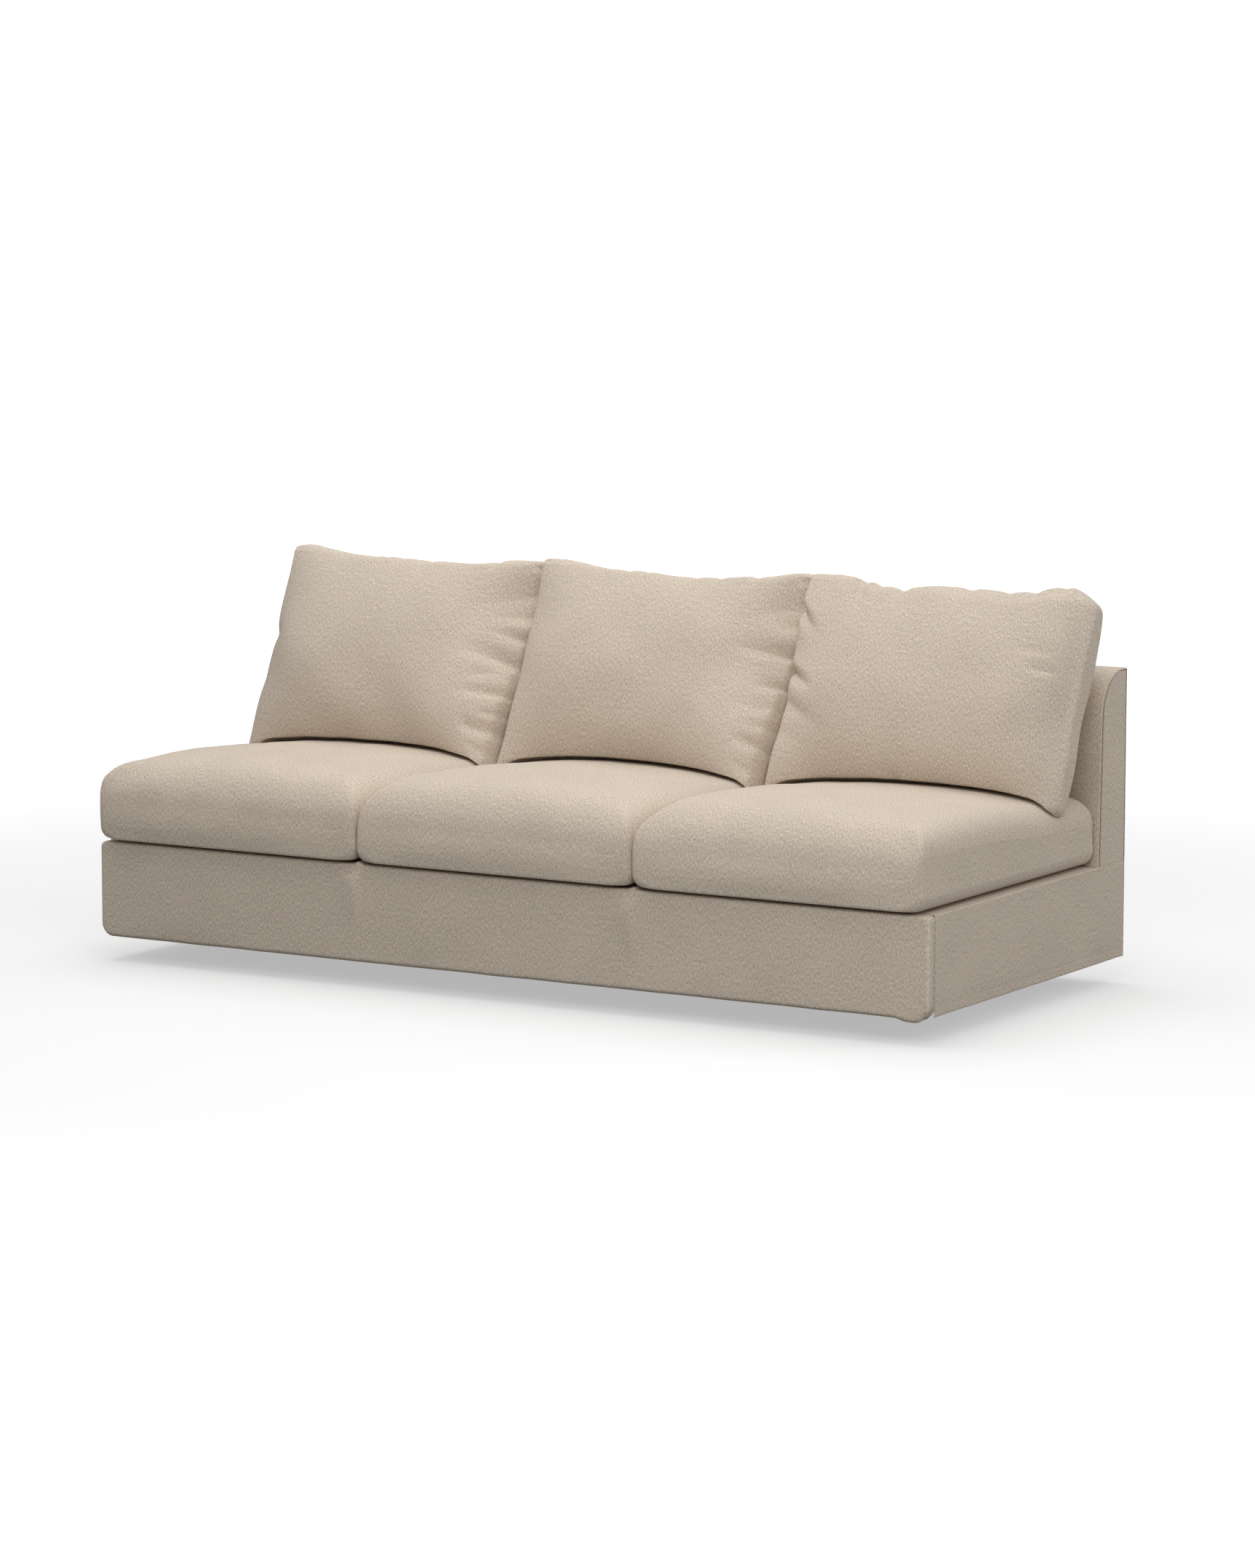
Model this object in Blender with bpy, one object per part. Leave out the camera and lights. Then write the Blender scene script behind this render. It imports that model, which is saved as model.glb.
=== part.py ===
"""Fitted cover set of a three-seat sofa section: a hollow frame cover, three seat and three back cushions.

Lengths are metres. Each piece is modelled with z = 0 on the floor, y = 0 at the front of the sofa and
x = 0 at its middle. The empty "cover_origin" then moves the whole set, so that the origin of the part
is the middle of the seat deck's underside, where the sofa's seat frame carries the cover.
"""
import math

import bpy
import numpy as np

# Driving sizes of the frame cover
COVER_WIDTH = 2.110
CLOTH = 0.002
SEAM_GAP = 0.0003
HEM_HEIGHT = 0.060
DECK_TOP = 0.275
BACK_TOP = 0.704
APRON_FACE = -0.007
BACK_FACE = 0.936
BACKREST_FOOT = 0.800
BACKREST_FRONT = 0.810
BACKREST_ROUND = 0.100
HALF = COVER_WIDTH / 2

# Apron: a face that turns back on all four sides
APRON_RETURN = 0.030
APRON_TURN = 0.012
APRON_TOP_CORNER = 0.014
APRON_FOOT_CORNER = 0.034
TUCK = {"x": 1.018, "width": 0.030, "drop": 0.007}

# Hems of the side and back panels
HEM_DEPTH = 0.025
HEM_EXTRA = 0.001

# Seat cushions
SEATS = 3
SEAT_PITCH = COVER_WIDTH / SEATS
SEAT_HALF = SEAT_PITCH / 2 - SEAM_GAP
SEAT_FRONT = -0.020
SEAT_BACK = BACKREST_FOOT - SEAM_GAP
SEAT_CORNER = 0.024
SEAT_SIDE_ROUND = 0.046
SEAT_FRONT_ROUND = 0.086
SEAT_FOOT_ROUND = 0.032
SEAT_FRONT_BELLY = 0.010

# Upper surface of a seat cushion from front to back: y, height along its sides, rise at its middle line
SEAT_TOP_ROWS = [
    (-0.02, 0.452, 0.006),
    (0.10, 0.452, 0.019),
    (0.25, 0.452, 0.024),
    (0.40, 0.448, 0.022),
    (0.55, 0.440, 0.018),
    (0.80, 0.436, 0.010),
]

# How far the arm beside an outer seat cushion presses its end in: cushion, left end, right end
SEAT_SQUEEZE = {"left": (0.006, 0.0), "middle": (0.0, 0.0), "right": (0.0, 0.006)}

# Back cushions: a crowned front panel, a boxed edge and a fuller back panel that leans on the backrest
PAD_HALF = SEAT_PITCH / 2 - 0.0030
PAD_HEIGHT = 0.484
PAD_EDGE = 0.090
PAD_EDGE_BELLY = 0.012
PAD_FRONT_CROWN = 0.070
PAD_BACK_CROWN = 0.062
PAD_LEAN = math.radians(23.1)
PAD_FOOT_Y = 0.575
PAD_FOOT_Z = 0.435
PAD_DRAWN_IN = 0.011
REST_GAP = 0.0010
LEAN_GAP = 0.0026
VALLEY_CLEAR = 0.010

# Crown of a back cushion's two panels from foot to head: height share, front share, back share
PAD_CROWN_ROWS = [
    (0.00, 0.00, 0.00),
    (0.05, 0.46, 0.30),
    (0.12, 0.72, 0.55),
    (0.25, 0.94, 0.85),
    (0.38, 1.00, 1.00),
    (0.55, 0.90, 0.98),
    (0.72, 0.70, 0.80),
    (0.86, 0.42, 0.52),
    (0.95, 0.17, 0.22),
    (1.00, 0.00, 0.00),
]

# Head seam of each back cushion, left to right: share of the half width, rise in metres
HEAD_ROWS = {
    "left": [(-1.00, 0.002), (-0.90, 0.009), (-0.72, 0.000), (-0.40, -0.009), (0.05, -0.013),
             (0.50, -0.009), (0.85, 0.002), (1.00, 0.003)],
    "middle": [(-1.00, 0.001), (-0.88, 0.005), (-0.60, -0.006), (-0.30, -0.013), (0.10, -0.019),
               (0.55, -0.012), (0.88, 0.005), (1.00, 0.002)],
    "right": [(-1.00, 0.000), (-0.82, 0.006), (-0.58, -0.012), (-0.38, -0.020), (-0.15, -0.013),
              (0.20, -0.014), (0.55, -0.010), (0.82, 0.005), (1.00, -0.002)],
}

# Corner radii of each back cushion's seam outline
HEAD_CORNERS = {
    "left": {"left": 0.012, "right": 0.014},
    "middle": {"left": 0.014, "right": 0.014},
    "right": {"left": 0.014, "right": 0.046},
}
FOOT_CORNER = 0.016

# Main folds of each front panel: start and end as shares of half width and height, width, depth
# (a positive depth is a trough and a negative one a ridge)
FOLD_ROWS = {
    "left": [
        (1.00, 0.62, 0.74, 0.60, 0.018, 0.011),
        (1.00, 0.47, 0.70, 0.45, 0.018, 0.009),
        (1.00, 0.54, 0.72, 0.53, 0.018, -0.006),
        (1.00, 0.33, 0.55, 0.34, 0.016, 0.008),
        (1.00, 0.92, 0.86, 0.84, 0.020, 0.010),
        (-1.00, 0.58, -0.84, 0.57, 0.020, 0.006),
    ],
    "middle": [
        (1.00, 0.64, 0.68, 0.62, 0.018, 0.011),
        (1.00, 0.56, 0.66, 0.55, 0.018, -0.006),
        (1.00, 0.46, 0.80, 0.45, 0.016, 0.009),
        (1.00, 0.20, 0.80, 0.24, 0.020, 0.008),
        (1.00, 0.92, 0.86, 0.84, 0.020, 0.010),
    ],
    "right": [
        (-1.00, 0.84, -0.84, 0.70, 0.020, 0.010),
        (-1.00, 0.55, -0.82, 0.46, 0.018, 0.009),
        (-1.00, 0.50, -0.66, 0.28, 0.022, -0.006),
        (1.00, 0.58, 0.60, 0.62, 0.018, 0.007),
        (1.00, 0.48, 0.66, 0.52, 0.018, 0.006),
        (-0.60, 0.98, -0.58, 0.74, 0.018, 0.005),
        (-0.30, 0.02, -0.28, 0.12, 0.018, 0.006),
    ],
}

# The light ridges of the apron below the joints between seat cushions
RIDGE = {"head": 0.262, "foot": 0.165, "width": 0.012, "height": 0.0025}

ORIGIN = (0.0, (APRON_RETURN + BACKREST_FOOT) / 2, DECK_TOP - CLOTH)
FABRIC = (0.60, 0.52, 0.43, 1.0)


# ---------------------------------------------------------------- tools

def clear_scene():
    """Remove whatever the file holds."""
    for old in list(bpy.data.objects):
        bpy.data.objects.remove(old, do_unlink=True)


def cloth_material(name, shade):
    """The woven cover cloth, a little lighter or darker from piece to piece."""
    material = bpy.data.materials.new(name)
    material.use_nodes = True
    shader = material.node_tree.nodes["Principled BSDF"]
    colour = [channel * shade for channel in FABRIC[:3]] + [1.0]
    shader.inputs["Base Color"].default_value = colour
    shader.inputs["Roughness"].default_value = 0.92
    shader.inputs["Metallic"].default_value = 0.0
    material.diffuse_color = colour
    return material


def add_piece(name, points, faces, parent, shade=1.0):
    """Make one named object from points and faces, shaded smooth, under the set's empty."""
    mesh = bpy.data.meshes.new(name)
    mesh.from_pydata([tuple(point) for point in points], [], faces)
    mesh.validate()
    mesh.shade_smooth()
    mesh.set_sharp_from_angle(angle=math.radians(50))
    piece = bpy.data.objects.new(name, mesh)
    piece.data.materials.append(cloth_material(name + "_cloth", shade))
    bpy.context.collection.objects.link(piece)
    piece.parent = parent
    return piece


def lattice(xs, ys, zs):
    """Points on the six faces of a box lattice, and quads that face out."""
    last_x, last_y, last_z = len(xs) - 1, len(ys) - 1, len(zs) - 1
    index = {}
    points = []

    def corner(i, j, k):
        if (i, j, k) not in index:
            index[(i, j, k)] = len(points)
            points.append((xs[i], ys[j], zs[k]))
        return index[(i, j, k)]

    def side(first, second, place, outward):
        for p in range(first):
            for q in range(second):
                ring = [place(p, q), place(p + 1, q), place(p + 1, q + 1), place(p, q + 1)]
                quads.append(ring if outward else ring[::-1])

    quads = []
    side(last_x, last_y, lambda p, q: corner(p, q, last_z), True)
    side(last_x, last_y, lambda p, q: corner(p, q, 0), False)
    side(last_y, last_z, lambda p, q: corner(last_x, p, q), True)
    side(last_y, last_z, lambda p, q: corner(0, p, q), False)
    side(last_x, last_z, lambda p, q: corner(p, 0, q), True)
    side(last_x, last_z, lambda p, q: corner(p, last_y, q), False)
    return np.array(points), quads


def spread(low, high, low_steps, high_steps, count):
    """Lattice lines from low to high, at the given steps from each edge and even between them."""
    middle = np.linspace(low + low_steps[-1], high - high_steps[-1], count)
    head = [low + step for step in low_steps[:-1]]
    tail = [high - step for step in reversed(high_steps[:-1])]
    return np.array(head + list(middle) + tail)


def round_corners(x, y, half_x, half_y, radius):
    """Turn a lattice's square corners into quarter circles; also give the depth from the outline."""
    over_x = np.clip((np.abs(x) - half_x + radius) / radius, 0.0, 1.0)
    over_y = np.clip((np.abs(y) - half_y + radius) / radius, 0.0, 1.0)
    round_x = over_x * np.sqrt(1 - over_y ** 2 / 2)
    round_y = over_y * np.sqrt(1 - over_x ** 2 / 2)
    new_x = np.where(over_x > 0, np.sign(x) * (half_x - radius + radius * round_x), x)
    new_y = np.where(over_y > 0, np.sign(y) * (half_y - radius + radius * round_y), y)
    in_x = np.abs(new_x) - half_x + radius
    in_y = np.abs(new_y) - half_y + radius
    outside = np.hypot(np.maximum(in_x, 0), np.maximum(in_y, 0))
    inside = np.minimum(np.maximum(in_x, in_y), 0)
    return new_x, new_y, np.maximum(radius - outside - inside, 0.0)


def quarter_drop(depth, radius):
    """How far a rounded edge falls away at a depth in from the outline."""
    reach = np.clip(depth / radius, 0.0, 1.0)
    return radius * (1 - np.sqrt(1 - (1 - reach) ** 2))


def fold_relief(a, v, rows, half, height):
    """Depth of a panel's folds at points given as shares of its half width and height."""
    relief = np.zeros_like(a)
    for a_start, v_start, a_end, v_end, width, depth in rows:
        run_x, run_z = (a_end - a_start) * half, (v_end - v_start) * height
        length = math.hypot(run_x, run_z)
        off_x, off_z = (a - a_start) * half, (v - v_start) * height
        along = (off_x * run_x + off_z * run_z) / length
        across = (off_x * run_z - off_z * run_x) / length
        past_end = np.maximum(along - 0.5 * length, 0) / (0.5 * length)
        relief += depth * np.exp(-(across / width) ** 2 - 2.0 * past_end ** 2)
    return relief


# ---------------------------------------------------------------- frame cover

def tray_points(xs, zs, returns):
    """A stretched panel's lattice: one layer of face points, with its turned-back rim in rows."""
    columns, rows = len(xs), len(zs)
    points = []
    faces = []
    for z in zs:
        for x in xs:
            points.append((x, 0.0, z))
    for k in range(rows - 1):
        for i in range(columns - 1):
            low = k * columns + i
            faces.append([low, low + 1, low + columns + 1, low + columns])
    rim = [i for i in range(columns)]
    rim += [k * columns + columns - 1 for k in range(1, rows)]
    rim += [(rows - 1) * columns + i for i in range(columns - 2, -1, -1)]
    rim += [k * columns for k in range(rows - 2, 0, -1)]
    previous = rim
    for depth in returns:
        ring = []
        for corner in rim:
            ring.append(len(points))
            points.append((points[corner][0], depth, points[corner][2]))
        for n in range(len(rim)):
            after = (n + 1) % len(rim)
            faces.append([previous[n], ring[n], ring[after], previous[after]])
        previous = ring
    return np.array(points), faces


def front_apron(parent):
    """The apron: a flat face, turned back at the top, the foot and both ends, with its tuck."""
    mid_z = (HEM_HEIGHT + DECK_TOP) / 2
    half_z = (DECK_TOP - HEM_HEIGHT) / 2
    steps = (0.0, 0.004, 0.010, 0.020)
    ridge_x = SEAT_PITCH / 2
    near_ridge = [ridge_x - 0.030, ridge_x - 0.012, ridge_x, ridge_x + 0.012, ridge_x + 0.030]
    near_tuck = [TUCK["x"] - 0.055, TUCK["x"] - 0.028, TUCK["x"] - 0.012]
    ends = [HALF - step for step in steps]
    wide = sorted(near_ridge + [-x for x in near_ridge] + near_tuck + ends + [-x for x in ends]
                  + [0.0, -0.17, 0.17, -0.62, 0.62, -0.85, 0.85])
    tall = spread(-half_z, half_z, (0.0, 0.004, 0.012, 0.030), steps, 5)
    points, faces = tray_points(wide, tall, (APRON_TURN, 0.018, APRON_RETURN))

    is_head = points[:, 2] > 0
    head = round_corners(points[:, 0], points[:, 2], HALF, half_z, APRON_TOP_CORNER)
    foot = round_corners(points[:, 0], points[:, 2], HALF, half_z, APRON_FOOT_CORNER)
    x, z, depth = (np.where(is_head, first, second) for first, second in zip(head, foot))
    on_face = points[:, 1] == 0.0
    y = np.where(on_face, quarter_drop(depth, APRON_TURN), points[:, 1]) + APRON_FACE
    y = np.where(points[:, 1] == APRON_RETURN, APRON_RETURN, y)

    height = z + mid_z
    ridge_share = np.clip((height - RIDGE["foot"]) / (RIDGE["head"] - RIDGE["foot"]), 0, 1)
    ridge_share *= np.clip((DECK_TOP - height) / 0.012, 0, 1)
    for middle in (-ridge_x, ridge_x):
        y -= RIDGE["height"] * ridge_share * np.exp(-((x - middle) / RIDGE["width"]) ** 2) * on_face

    foot_share = np.clip(1 - (height - HEM_HEIGHT) / 0.030, 0, 1)
    height -= TUCK["drop"] * foot_share * np.exp(-((x - TUCK["x"]) / TUCK["width"]) ** 4)
    piece = add_piece("front_apron", np.column_stack([x, y, height]), faces, parent, 0.94)
    return thicken(piece)


def thicken(piece):
    """Give a one-layer sheet its cloth thickness, on the inner side."""
    solid = piece.modifiers.new("cloth thickness", "SOLIDIFY")
    solid.thickness = CLOTH
    solid.offset = -1.0
    return piece


def backrest_profile(inset=0.0):
    """The backrest's front and top in side view, from the deck up and over to the back: (y, z) pairs."""
    arc_y, arc_z = BACKREST_FRONT + BACKREST_ROUND, BACK_TOP - BACKREST_ROUND
    radius = BACKREST_ROUND - inset
    rise = DECK_TOP + SEAM_GAP
    line = [(BACKREST_FOOT + inset, rise)]
    line += [(BACKREST_FOOT + inset + (BACKREST_FRONT - BACKREST_FOOT) * share,
              rise + (arc_z - rise) * share) for share in (0.35, 0.7)]
    turns = 8
    for step in range(turns + 1):
        angle = math.pi / 2 * step / turns
        line.append((arc_y - radius * math.cos(angle), arc_z + radius * math.sin(angle)))
    return line


def backrest_front(parent):
    """The inner back: up the backrest's front, over its rounded head, to the seam at the back."""
    line = backrest_profile() + [(BACK_FACE, BACK_TOP)]
    columns = np.linspace(-HALF, HALF, 9)
    points = [(x, y, z) for x in columns for y, z in line]
    count = len(line)
    faces = []
    for i in range(len(columns) - 1):
        for k in range(count - 1):
            low = i * count + k
            faces.append([low, low + count, low + count + 1, low + 1])
    return thicken(add_piece("backrest_front", points, faces, parent, 0.97))


def seat_deck(parent):
    """The flat cloth under the seat cushions, from the apron's return to the backrest."""
    edge = HALF - CLOTH - SEAM_GAP
    points, faces = lattice(
        np.linspace(-edge, edge, 7),
        np.array([APRON_RETURN + SEAM_GAP, 0.28, 0.54, BACKREST_FOOT + CLOTH]),
        np.array([DECK_TOP - CLOTH, DECK_TOP]),
    )
    return add_piece("seat_deck", points, faces, parent, 0.90)


def hemmed(points, inner):
    """Thicken the lowest strip of a hanging panel where its hem is doubled."""
    in_hem = points[:, 2] < HEM_HEIGHT + HEM_DEPTH - SEAM_GAP
    return np.where(inner & in_hem, HEM_EXTRA, 0.0)


def base_side(name, side, parent):
    """The flat panel at one end of the seat base, between the apron and the back panel."""
    columns = np.array([APRON_RETURN + SEAM_GAP, 0.26, 0.50, 0.72, BACK_FACE - CLOTH - SEAM_GAP])
    rows = np.array([HEM_HEIGHT, HEM_HEIGHT + HEM_DEPTH - 0.001, HEM_HEIGHT + HEM_DEPTH, 0.18, DECK_TOP])
    points, faces = lattice(np.array([HALF - CLOTH, HALF]), columns, rows)
    points[:, 0] -= hemmed(points, points[:, 0] < HALF - CLOTH / 2)
    if side < 0:
        points[:, 0] *= -1
        faces = [face[::-1] for face in faces]
    return add_piece(name, points, faces, parent, 0.93)


def backrest_end(name, side, parent):
    """The shaped panel that closes one end of the backrest."""
    rear = BACK_FACE - CLOTH - SEAM_GAP
    outline = backrest_profile(CLOTH + SEAM_GAP)
    outline += [(rear, BACK_TOP - CLOTH - SEAM_GAP), (rear, DECK_TOP + SEAM_GAP)]
    count = len(outline)
    points = [(side * x, y, z) for x in (HALF - CLOTH, HALF) for y, z in outline]
    faces = [list(range(count)), list(range(2 * count - 1, count - 1, -1))]
    for k in range(count):
        after = (k + 1) % count
        faces.append([k, count + k, count + after, after])
    if side < 0:
        faces = [face[::-1] for face in faces]
    return add_piece(name, points, faces, parent, 0.95)


def back_panel(parent):
    """The outer back, from the seam below the head down to its hem."""
    head = BACK_TOP - CLOTH - SEAM_GAP
    rows = np.array([HEM_HEIGHT, HEM_HEIGHT + HEM_DEPTH - 0.001, HEM_HEIGHT + HEM_DEPTH, 0.24, 0.47, head])
    points, faces = lattice(np.linspace(-HALF, HALF, 11), np.array([BACK_FACE - CLOTH, BACK_FACE]), rows)
    corner_clear = np.abs(points[:, 0]) < HALF - 0.01
    points[:, 1] -= hemmed(points, (points[:, 1] < BACK_FACE - CLOTH / 2) & corner_clear)
    return add_piece("back_panel", points, faces, parent, 0.92)


# ---------------------------------------------------------------- cushions

def seat_crown(x, y, depth, frontness):
    """Height of a seat cushion's upper surface, with x from its own middle."""
    places = [row[0] for row in SEAT_TOP_ROWS]
    edge = np.interp(y, places, [row[1] for row in SEAT_TOP_ROWS])
    rise = np.interp(y, places, [row[2] for row in SEAT_TOP_ROWS])
    across = 1 - np.clip(np.abs(x) / SEAT_HALF, 0, 1) ** 2.5
    radius = SEAT_SIDE_ROUND + (SEAT_FRONT_ROUND - SEAT_SIDE_ROUND) * frontness
    return edge + rise * across - quarter_drop(depth, radius)


def frontness_of(x, y, depth):
    """1 where the nearest edge of a seat cushion is its front, 0 where it is a side or the back."""
    to_front = y - SEAT_FRONT
    to_side = SEAT_HALF - np.abs(x)
    in_corner = (to_front < SEAT_CORNER) & (to_side < SEAT_CORNER)
    run = np.maximum(SEAT_CORNER - to_side, 0)
    rise = np.maximum(SEAT_CORNER - to_front, 0)
    share = rise ** 2 / np.maximum(run ** 2 + rise ** 2, 1e-9)
    plain = np.clip((to_side - to_front) / SEAT_CORNER + 0.5, 0, 1)
    return np.where(in_corner, share, plain)


def seat_cushion(name, side, middle, parent):
    """One seat cushion: flat on the deck, rounded at the front, crowned on top."""
    mid_y, half_y = (SEAT_FRONT + SEAT_BACK) / 2, (SEAT_BACK - SEAT_FRONT) / 2
    sides = (0.0, 0.010, 0.026, 0.050)
    front = (0.0, 0.012, 0.030, 0.056, 0.086)
    xs = spread(-SEAT_HALF, SEAT_HALF, sides, sides, 7)
    lines = [SEAT_FRONT + step for step in front] + [row[0] for row in SEAT_TOP_ROWS[1:-1]]
    ys = np.array(lines + [0.66] + [SEAT_BACK - step for step in reversed(sides)]) - mid_y
    points, faces = lattice(xs, ys, np.linspace(0, 1, 4))
    x, y, depth = round_corners(points[:, 0], points[:, 1], SEAT_HALF, half_y, SEAT_CORNER)
    y = y + mid_y
    frontness = frontness_of(x, y, depth)
    share = points[:, 2]
    top = seat_crown(x, y, depth, frontness)
    bottom = DECK_TOP + SEAM_GAP + quarter_drop(depth, SEAT_FOOT_ROUND)
    z = bottom + (top - bottom) * share
    belly = (1 - (x / SEAT_HALF) ** 2) * np.clip(1 - (y - SEAT_FRONT) / 0.20, 0, 1)
    y = y - SEAT_FRONT_BELLY * belly * np.sin(math.pi * np.clip(share, 0.15, 0.85))
    left_in, right_in = SEAT_SQUEEZE[side]
    x = x + left_in * (0.5 - x / (2 * SEAT_HALF)) - right_in * (0.5 + x / (2 * SEAT_HALF))
    return add_piece(name, np.column_stack([x + middle, y, z]), faces, parent, 1.0)


def backrest_limit(z):
    """The furthest back that a cushion may reach at a height, in front of the backrest."""
    arc_y, arc_z = BACKREST_FRONT + BACKREST_ROUND, BACK_TOP - BACKREST_ROUND
    radius = BACKREST_ROUND + LEAN_GAP
    slope = (BACKREST_FRONT - BACKREST_FOOT) / (arc_z - DECK_TOP)
    flat = BACKREST_FRONT - (arc_z - z) * slope - LEAN_GAP
    reach = np.clip(z - arc_z, 0, radius)
    curved = arc_y - np.sqrt(radius ** 2 - reach ** 2)
    above = z > arc_z + radius
    return np.where(above, 10.0, np.where(z < arc_z, flat, curved))


def back_cushion(name, side, middle, parent):
    """One back cushion: it stands on its seat cushion and leans on the backrest."""
    shares_x = [-1, -0.96, -0.90, -0.81, -0.70, -0.57, -0.43, -0.28, -0.12, 0.05, 0.22, 0.38, 0.52,
                0.64, 0.74, 0.82, 0.89, 0.95, 0.985, 1]
    shares_v = [0, 0.025, 0.07, 0.13, 0.20, 0.27, 0.34, 0.41, 0.48, 0.55, 0.62, 0.70, 0.78, 0.86, 0.93,
                0.975, 1]
    points, faces = lattice(np.array(shares_x) * PAD_HALF, np.linspace(0, 1, 4),
                            (np.array(shares_v) - 0.5) * PAD_HEIGHT)
    edge_share = points[:, 1]
    corners = HEAD_CORNERS[side]
    head_radius = np.where(points[:, 0] < 0, corners["left"], corners["right"])
    radius = np.where(points[:, 2] > 0, head_radius, FOOT_CORNER)
    x, up, depth = round_corners(points[:, 0], points[:, 2], PAD_HALF, PAD_HEIGHT / 2, radius)
    a, v = x / PAD_HALF, up / PAD_HEIGHT + 0.5

    # The boxed edge swells a little between its two seams
    on_rim = depth < 1e-6
    swell = PAD_EDGE_BELLY * 4 * edge_share * (1 - edge_share) * on_rim
    x = x * (1 - PAD_DRAWN_IN / PAD_HALF * np.sin(math.pi * np.clip(v, 0, 1)) ** 0.8)
    x = x + np.sign(x) * swell * (np.abs(a) > 0.99)
    x = np.clip(x, -SEAT_HALF, SEAT_HALF)
    head = np.interp(a, [row[0] for row in HEAD_ROWS[side]], [row[1] for row in HEAD_ROWS[side]])
    up = up + head * np.clip((v - 0.6) / 0.4, 0, 1) ** 2
    up = up + swell * (v > 0.99)

    heights = [row[0] for row in PAD_CROWN_ROWS]
    crown_front = np.interp(v, heights, [row[1] for row in PAD_CROWN_ROWS])
    crown_back = np.interp(v, heights, [row[2] for row in PAD_CROWN_ROWS])
    across = (1 - np.clip(np.abs(a), 0, 1) ** 3.4) ** 0.62
    front = -PAD_FRONT_CROWN * crown_front * across + fold_relief(
        a, v, FOLD_ROWS[side], PAD_HALF, PAD_HEIGHT) * np.clip(depth / 0.012, 0.35, 1)
    back = PAD_EDGE + PAD_BACK_CROWN * crown_back * across
    through = front + (back - front) * edge_share

    y = PAD_FOOT_Y + through * math.cos(PAD_LEAN) + (up + PAD_HEIGHT / 2) * math.sin(PAD_LEAN)
    z = PAD_FOOT_Z - through * math.sin(PAD_LEAN) + (up + PAD_HEIGHT / 2) * math.cos(PAD_LEAN)
    y = np.minimum(y, backrest_limit(z))
    seat_depth = np.minimum(SEAT_HALF - np.abs(x), SEAT_BACK - y) + VALLEY_CLEAR
    seat_top = seat_crown(x, y, np.maximum(seat_depth, 0), 0.0)
    z = np.maximum(z, seat_top + REST_GAP)
    return add_piece(name, np.column_stack([x + middle, y, z]), faces, parent, 1.03)


# ---------------------------------------------------------------- the set

def build_set():
    """Build the frame cover and its cushions, and move them to the part's origin."""
    clear_scene()
    origin = bpy.data.objects.new("cover_origin", None)
    bpy.context.collection.objects.link(origin)
    front_apron(origin)
    seat_deck(origin)
    backrest_front(origin)
    back_panel(origin)
    for end, side in (("left", -1), ("right", 1)):
        base_side("base_side_" + end, side, origin)
        backrest_end("backrest_end_" + end, side, origin)
    for order, side in enumerate(("left", "middle", "right")):
        middle = (order - 1) * SEAT_PITCH
        seat_cushion("seat_cushion_" + side, side, middle, origin)
        back_cushion("back_cushion_" + side, side, middle, origin)
    origin.location = [-value for value in ORIGIN]
    bpy.context.view_layer.update()


build_set()
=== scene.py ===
"""Looks of a fitted sofa slipcover with its seat and back cushions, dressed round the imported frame.

Lengths are metres. Forms are worked out in room places: z = 0 on the floor, y = 0 at the front of the
seat and x = 0 at its middle. CoverSizes.origin is the frame's own origin there, and every finished mesh is
moved by it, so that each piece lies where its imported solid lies.
"""
import logging
import math
from dataclasses import dataclass, field
from enum import Enum
from typing import ClassVar

import bpy
import numpy as np
from mathutils import Matrix, Vector
from mathutils.bvhtree import BVHTree

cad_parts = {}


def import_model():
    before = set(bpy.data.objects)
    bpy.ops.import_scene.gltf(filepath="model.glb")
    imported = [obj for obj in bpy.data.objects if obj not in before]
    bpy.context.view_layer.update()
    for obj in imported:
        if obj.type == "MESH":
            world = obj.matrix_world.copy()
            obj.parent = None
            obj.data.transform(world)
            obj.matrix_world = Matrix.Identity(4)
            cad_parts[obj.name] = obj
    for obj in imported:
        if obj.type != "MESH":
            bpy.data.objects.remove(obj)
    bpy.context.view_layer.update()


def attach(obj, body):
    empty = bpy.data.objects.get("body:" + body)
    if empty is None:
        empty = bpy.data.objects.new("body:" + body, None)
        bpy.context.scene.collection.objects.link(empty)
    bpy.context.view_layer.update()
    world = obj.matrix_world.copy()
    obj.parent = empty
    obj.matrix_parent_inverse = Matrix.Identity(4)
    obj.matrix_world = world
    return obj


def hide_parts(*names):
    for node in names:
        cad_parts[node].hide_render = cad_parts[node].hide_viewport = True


LOG = logging.getLogger("slipcover")
# Fact by point that sets where painted seam shadow darkens the cloth's colour
SEAM_SHADOW_PAINT_FACT = "painted_seam_shadow"
FAR_BACK = 10.0  # a y behind everything
ON_SEAM = 1e-5  # depths below this lie on an outline
Array = np.ndarray
Rows = list[tuple[float, ...]]
Ends = tuple[float, float]


# ---------------------------------------------------------------- choices and sizes

class Side(Enum):
    """Places along the cover, as someone faces its front."""

    LEFT = "left"
    MIDDLE = "middle"
    RIGHT = "right"

    @property
    def order(self) -> int:
        """-1, 0 or 1 from left to right."""
        return {"left": -1, "middle": 0, "right": 1}[self.value]


class Hold(Enum):
    """How a sheet of the cover is held."""

    STRETCHED = "stretched"


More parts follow.
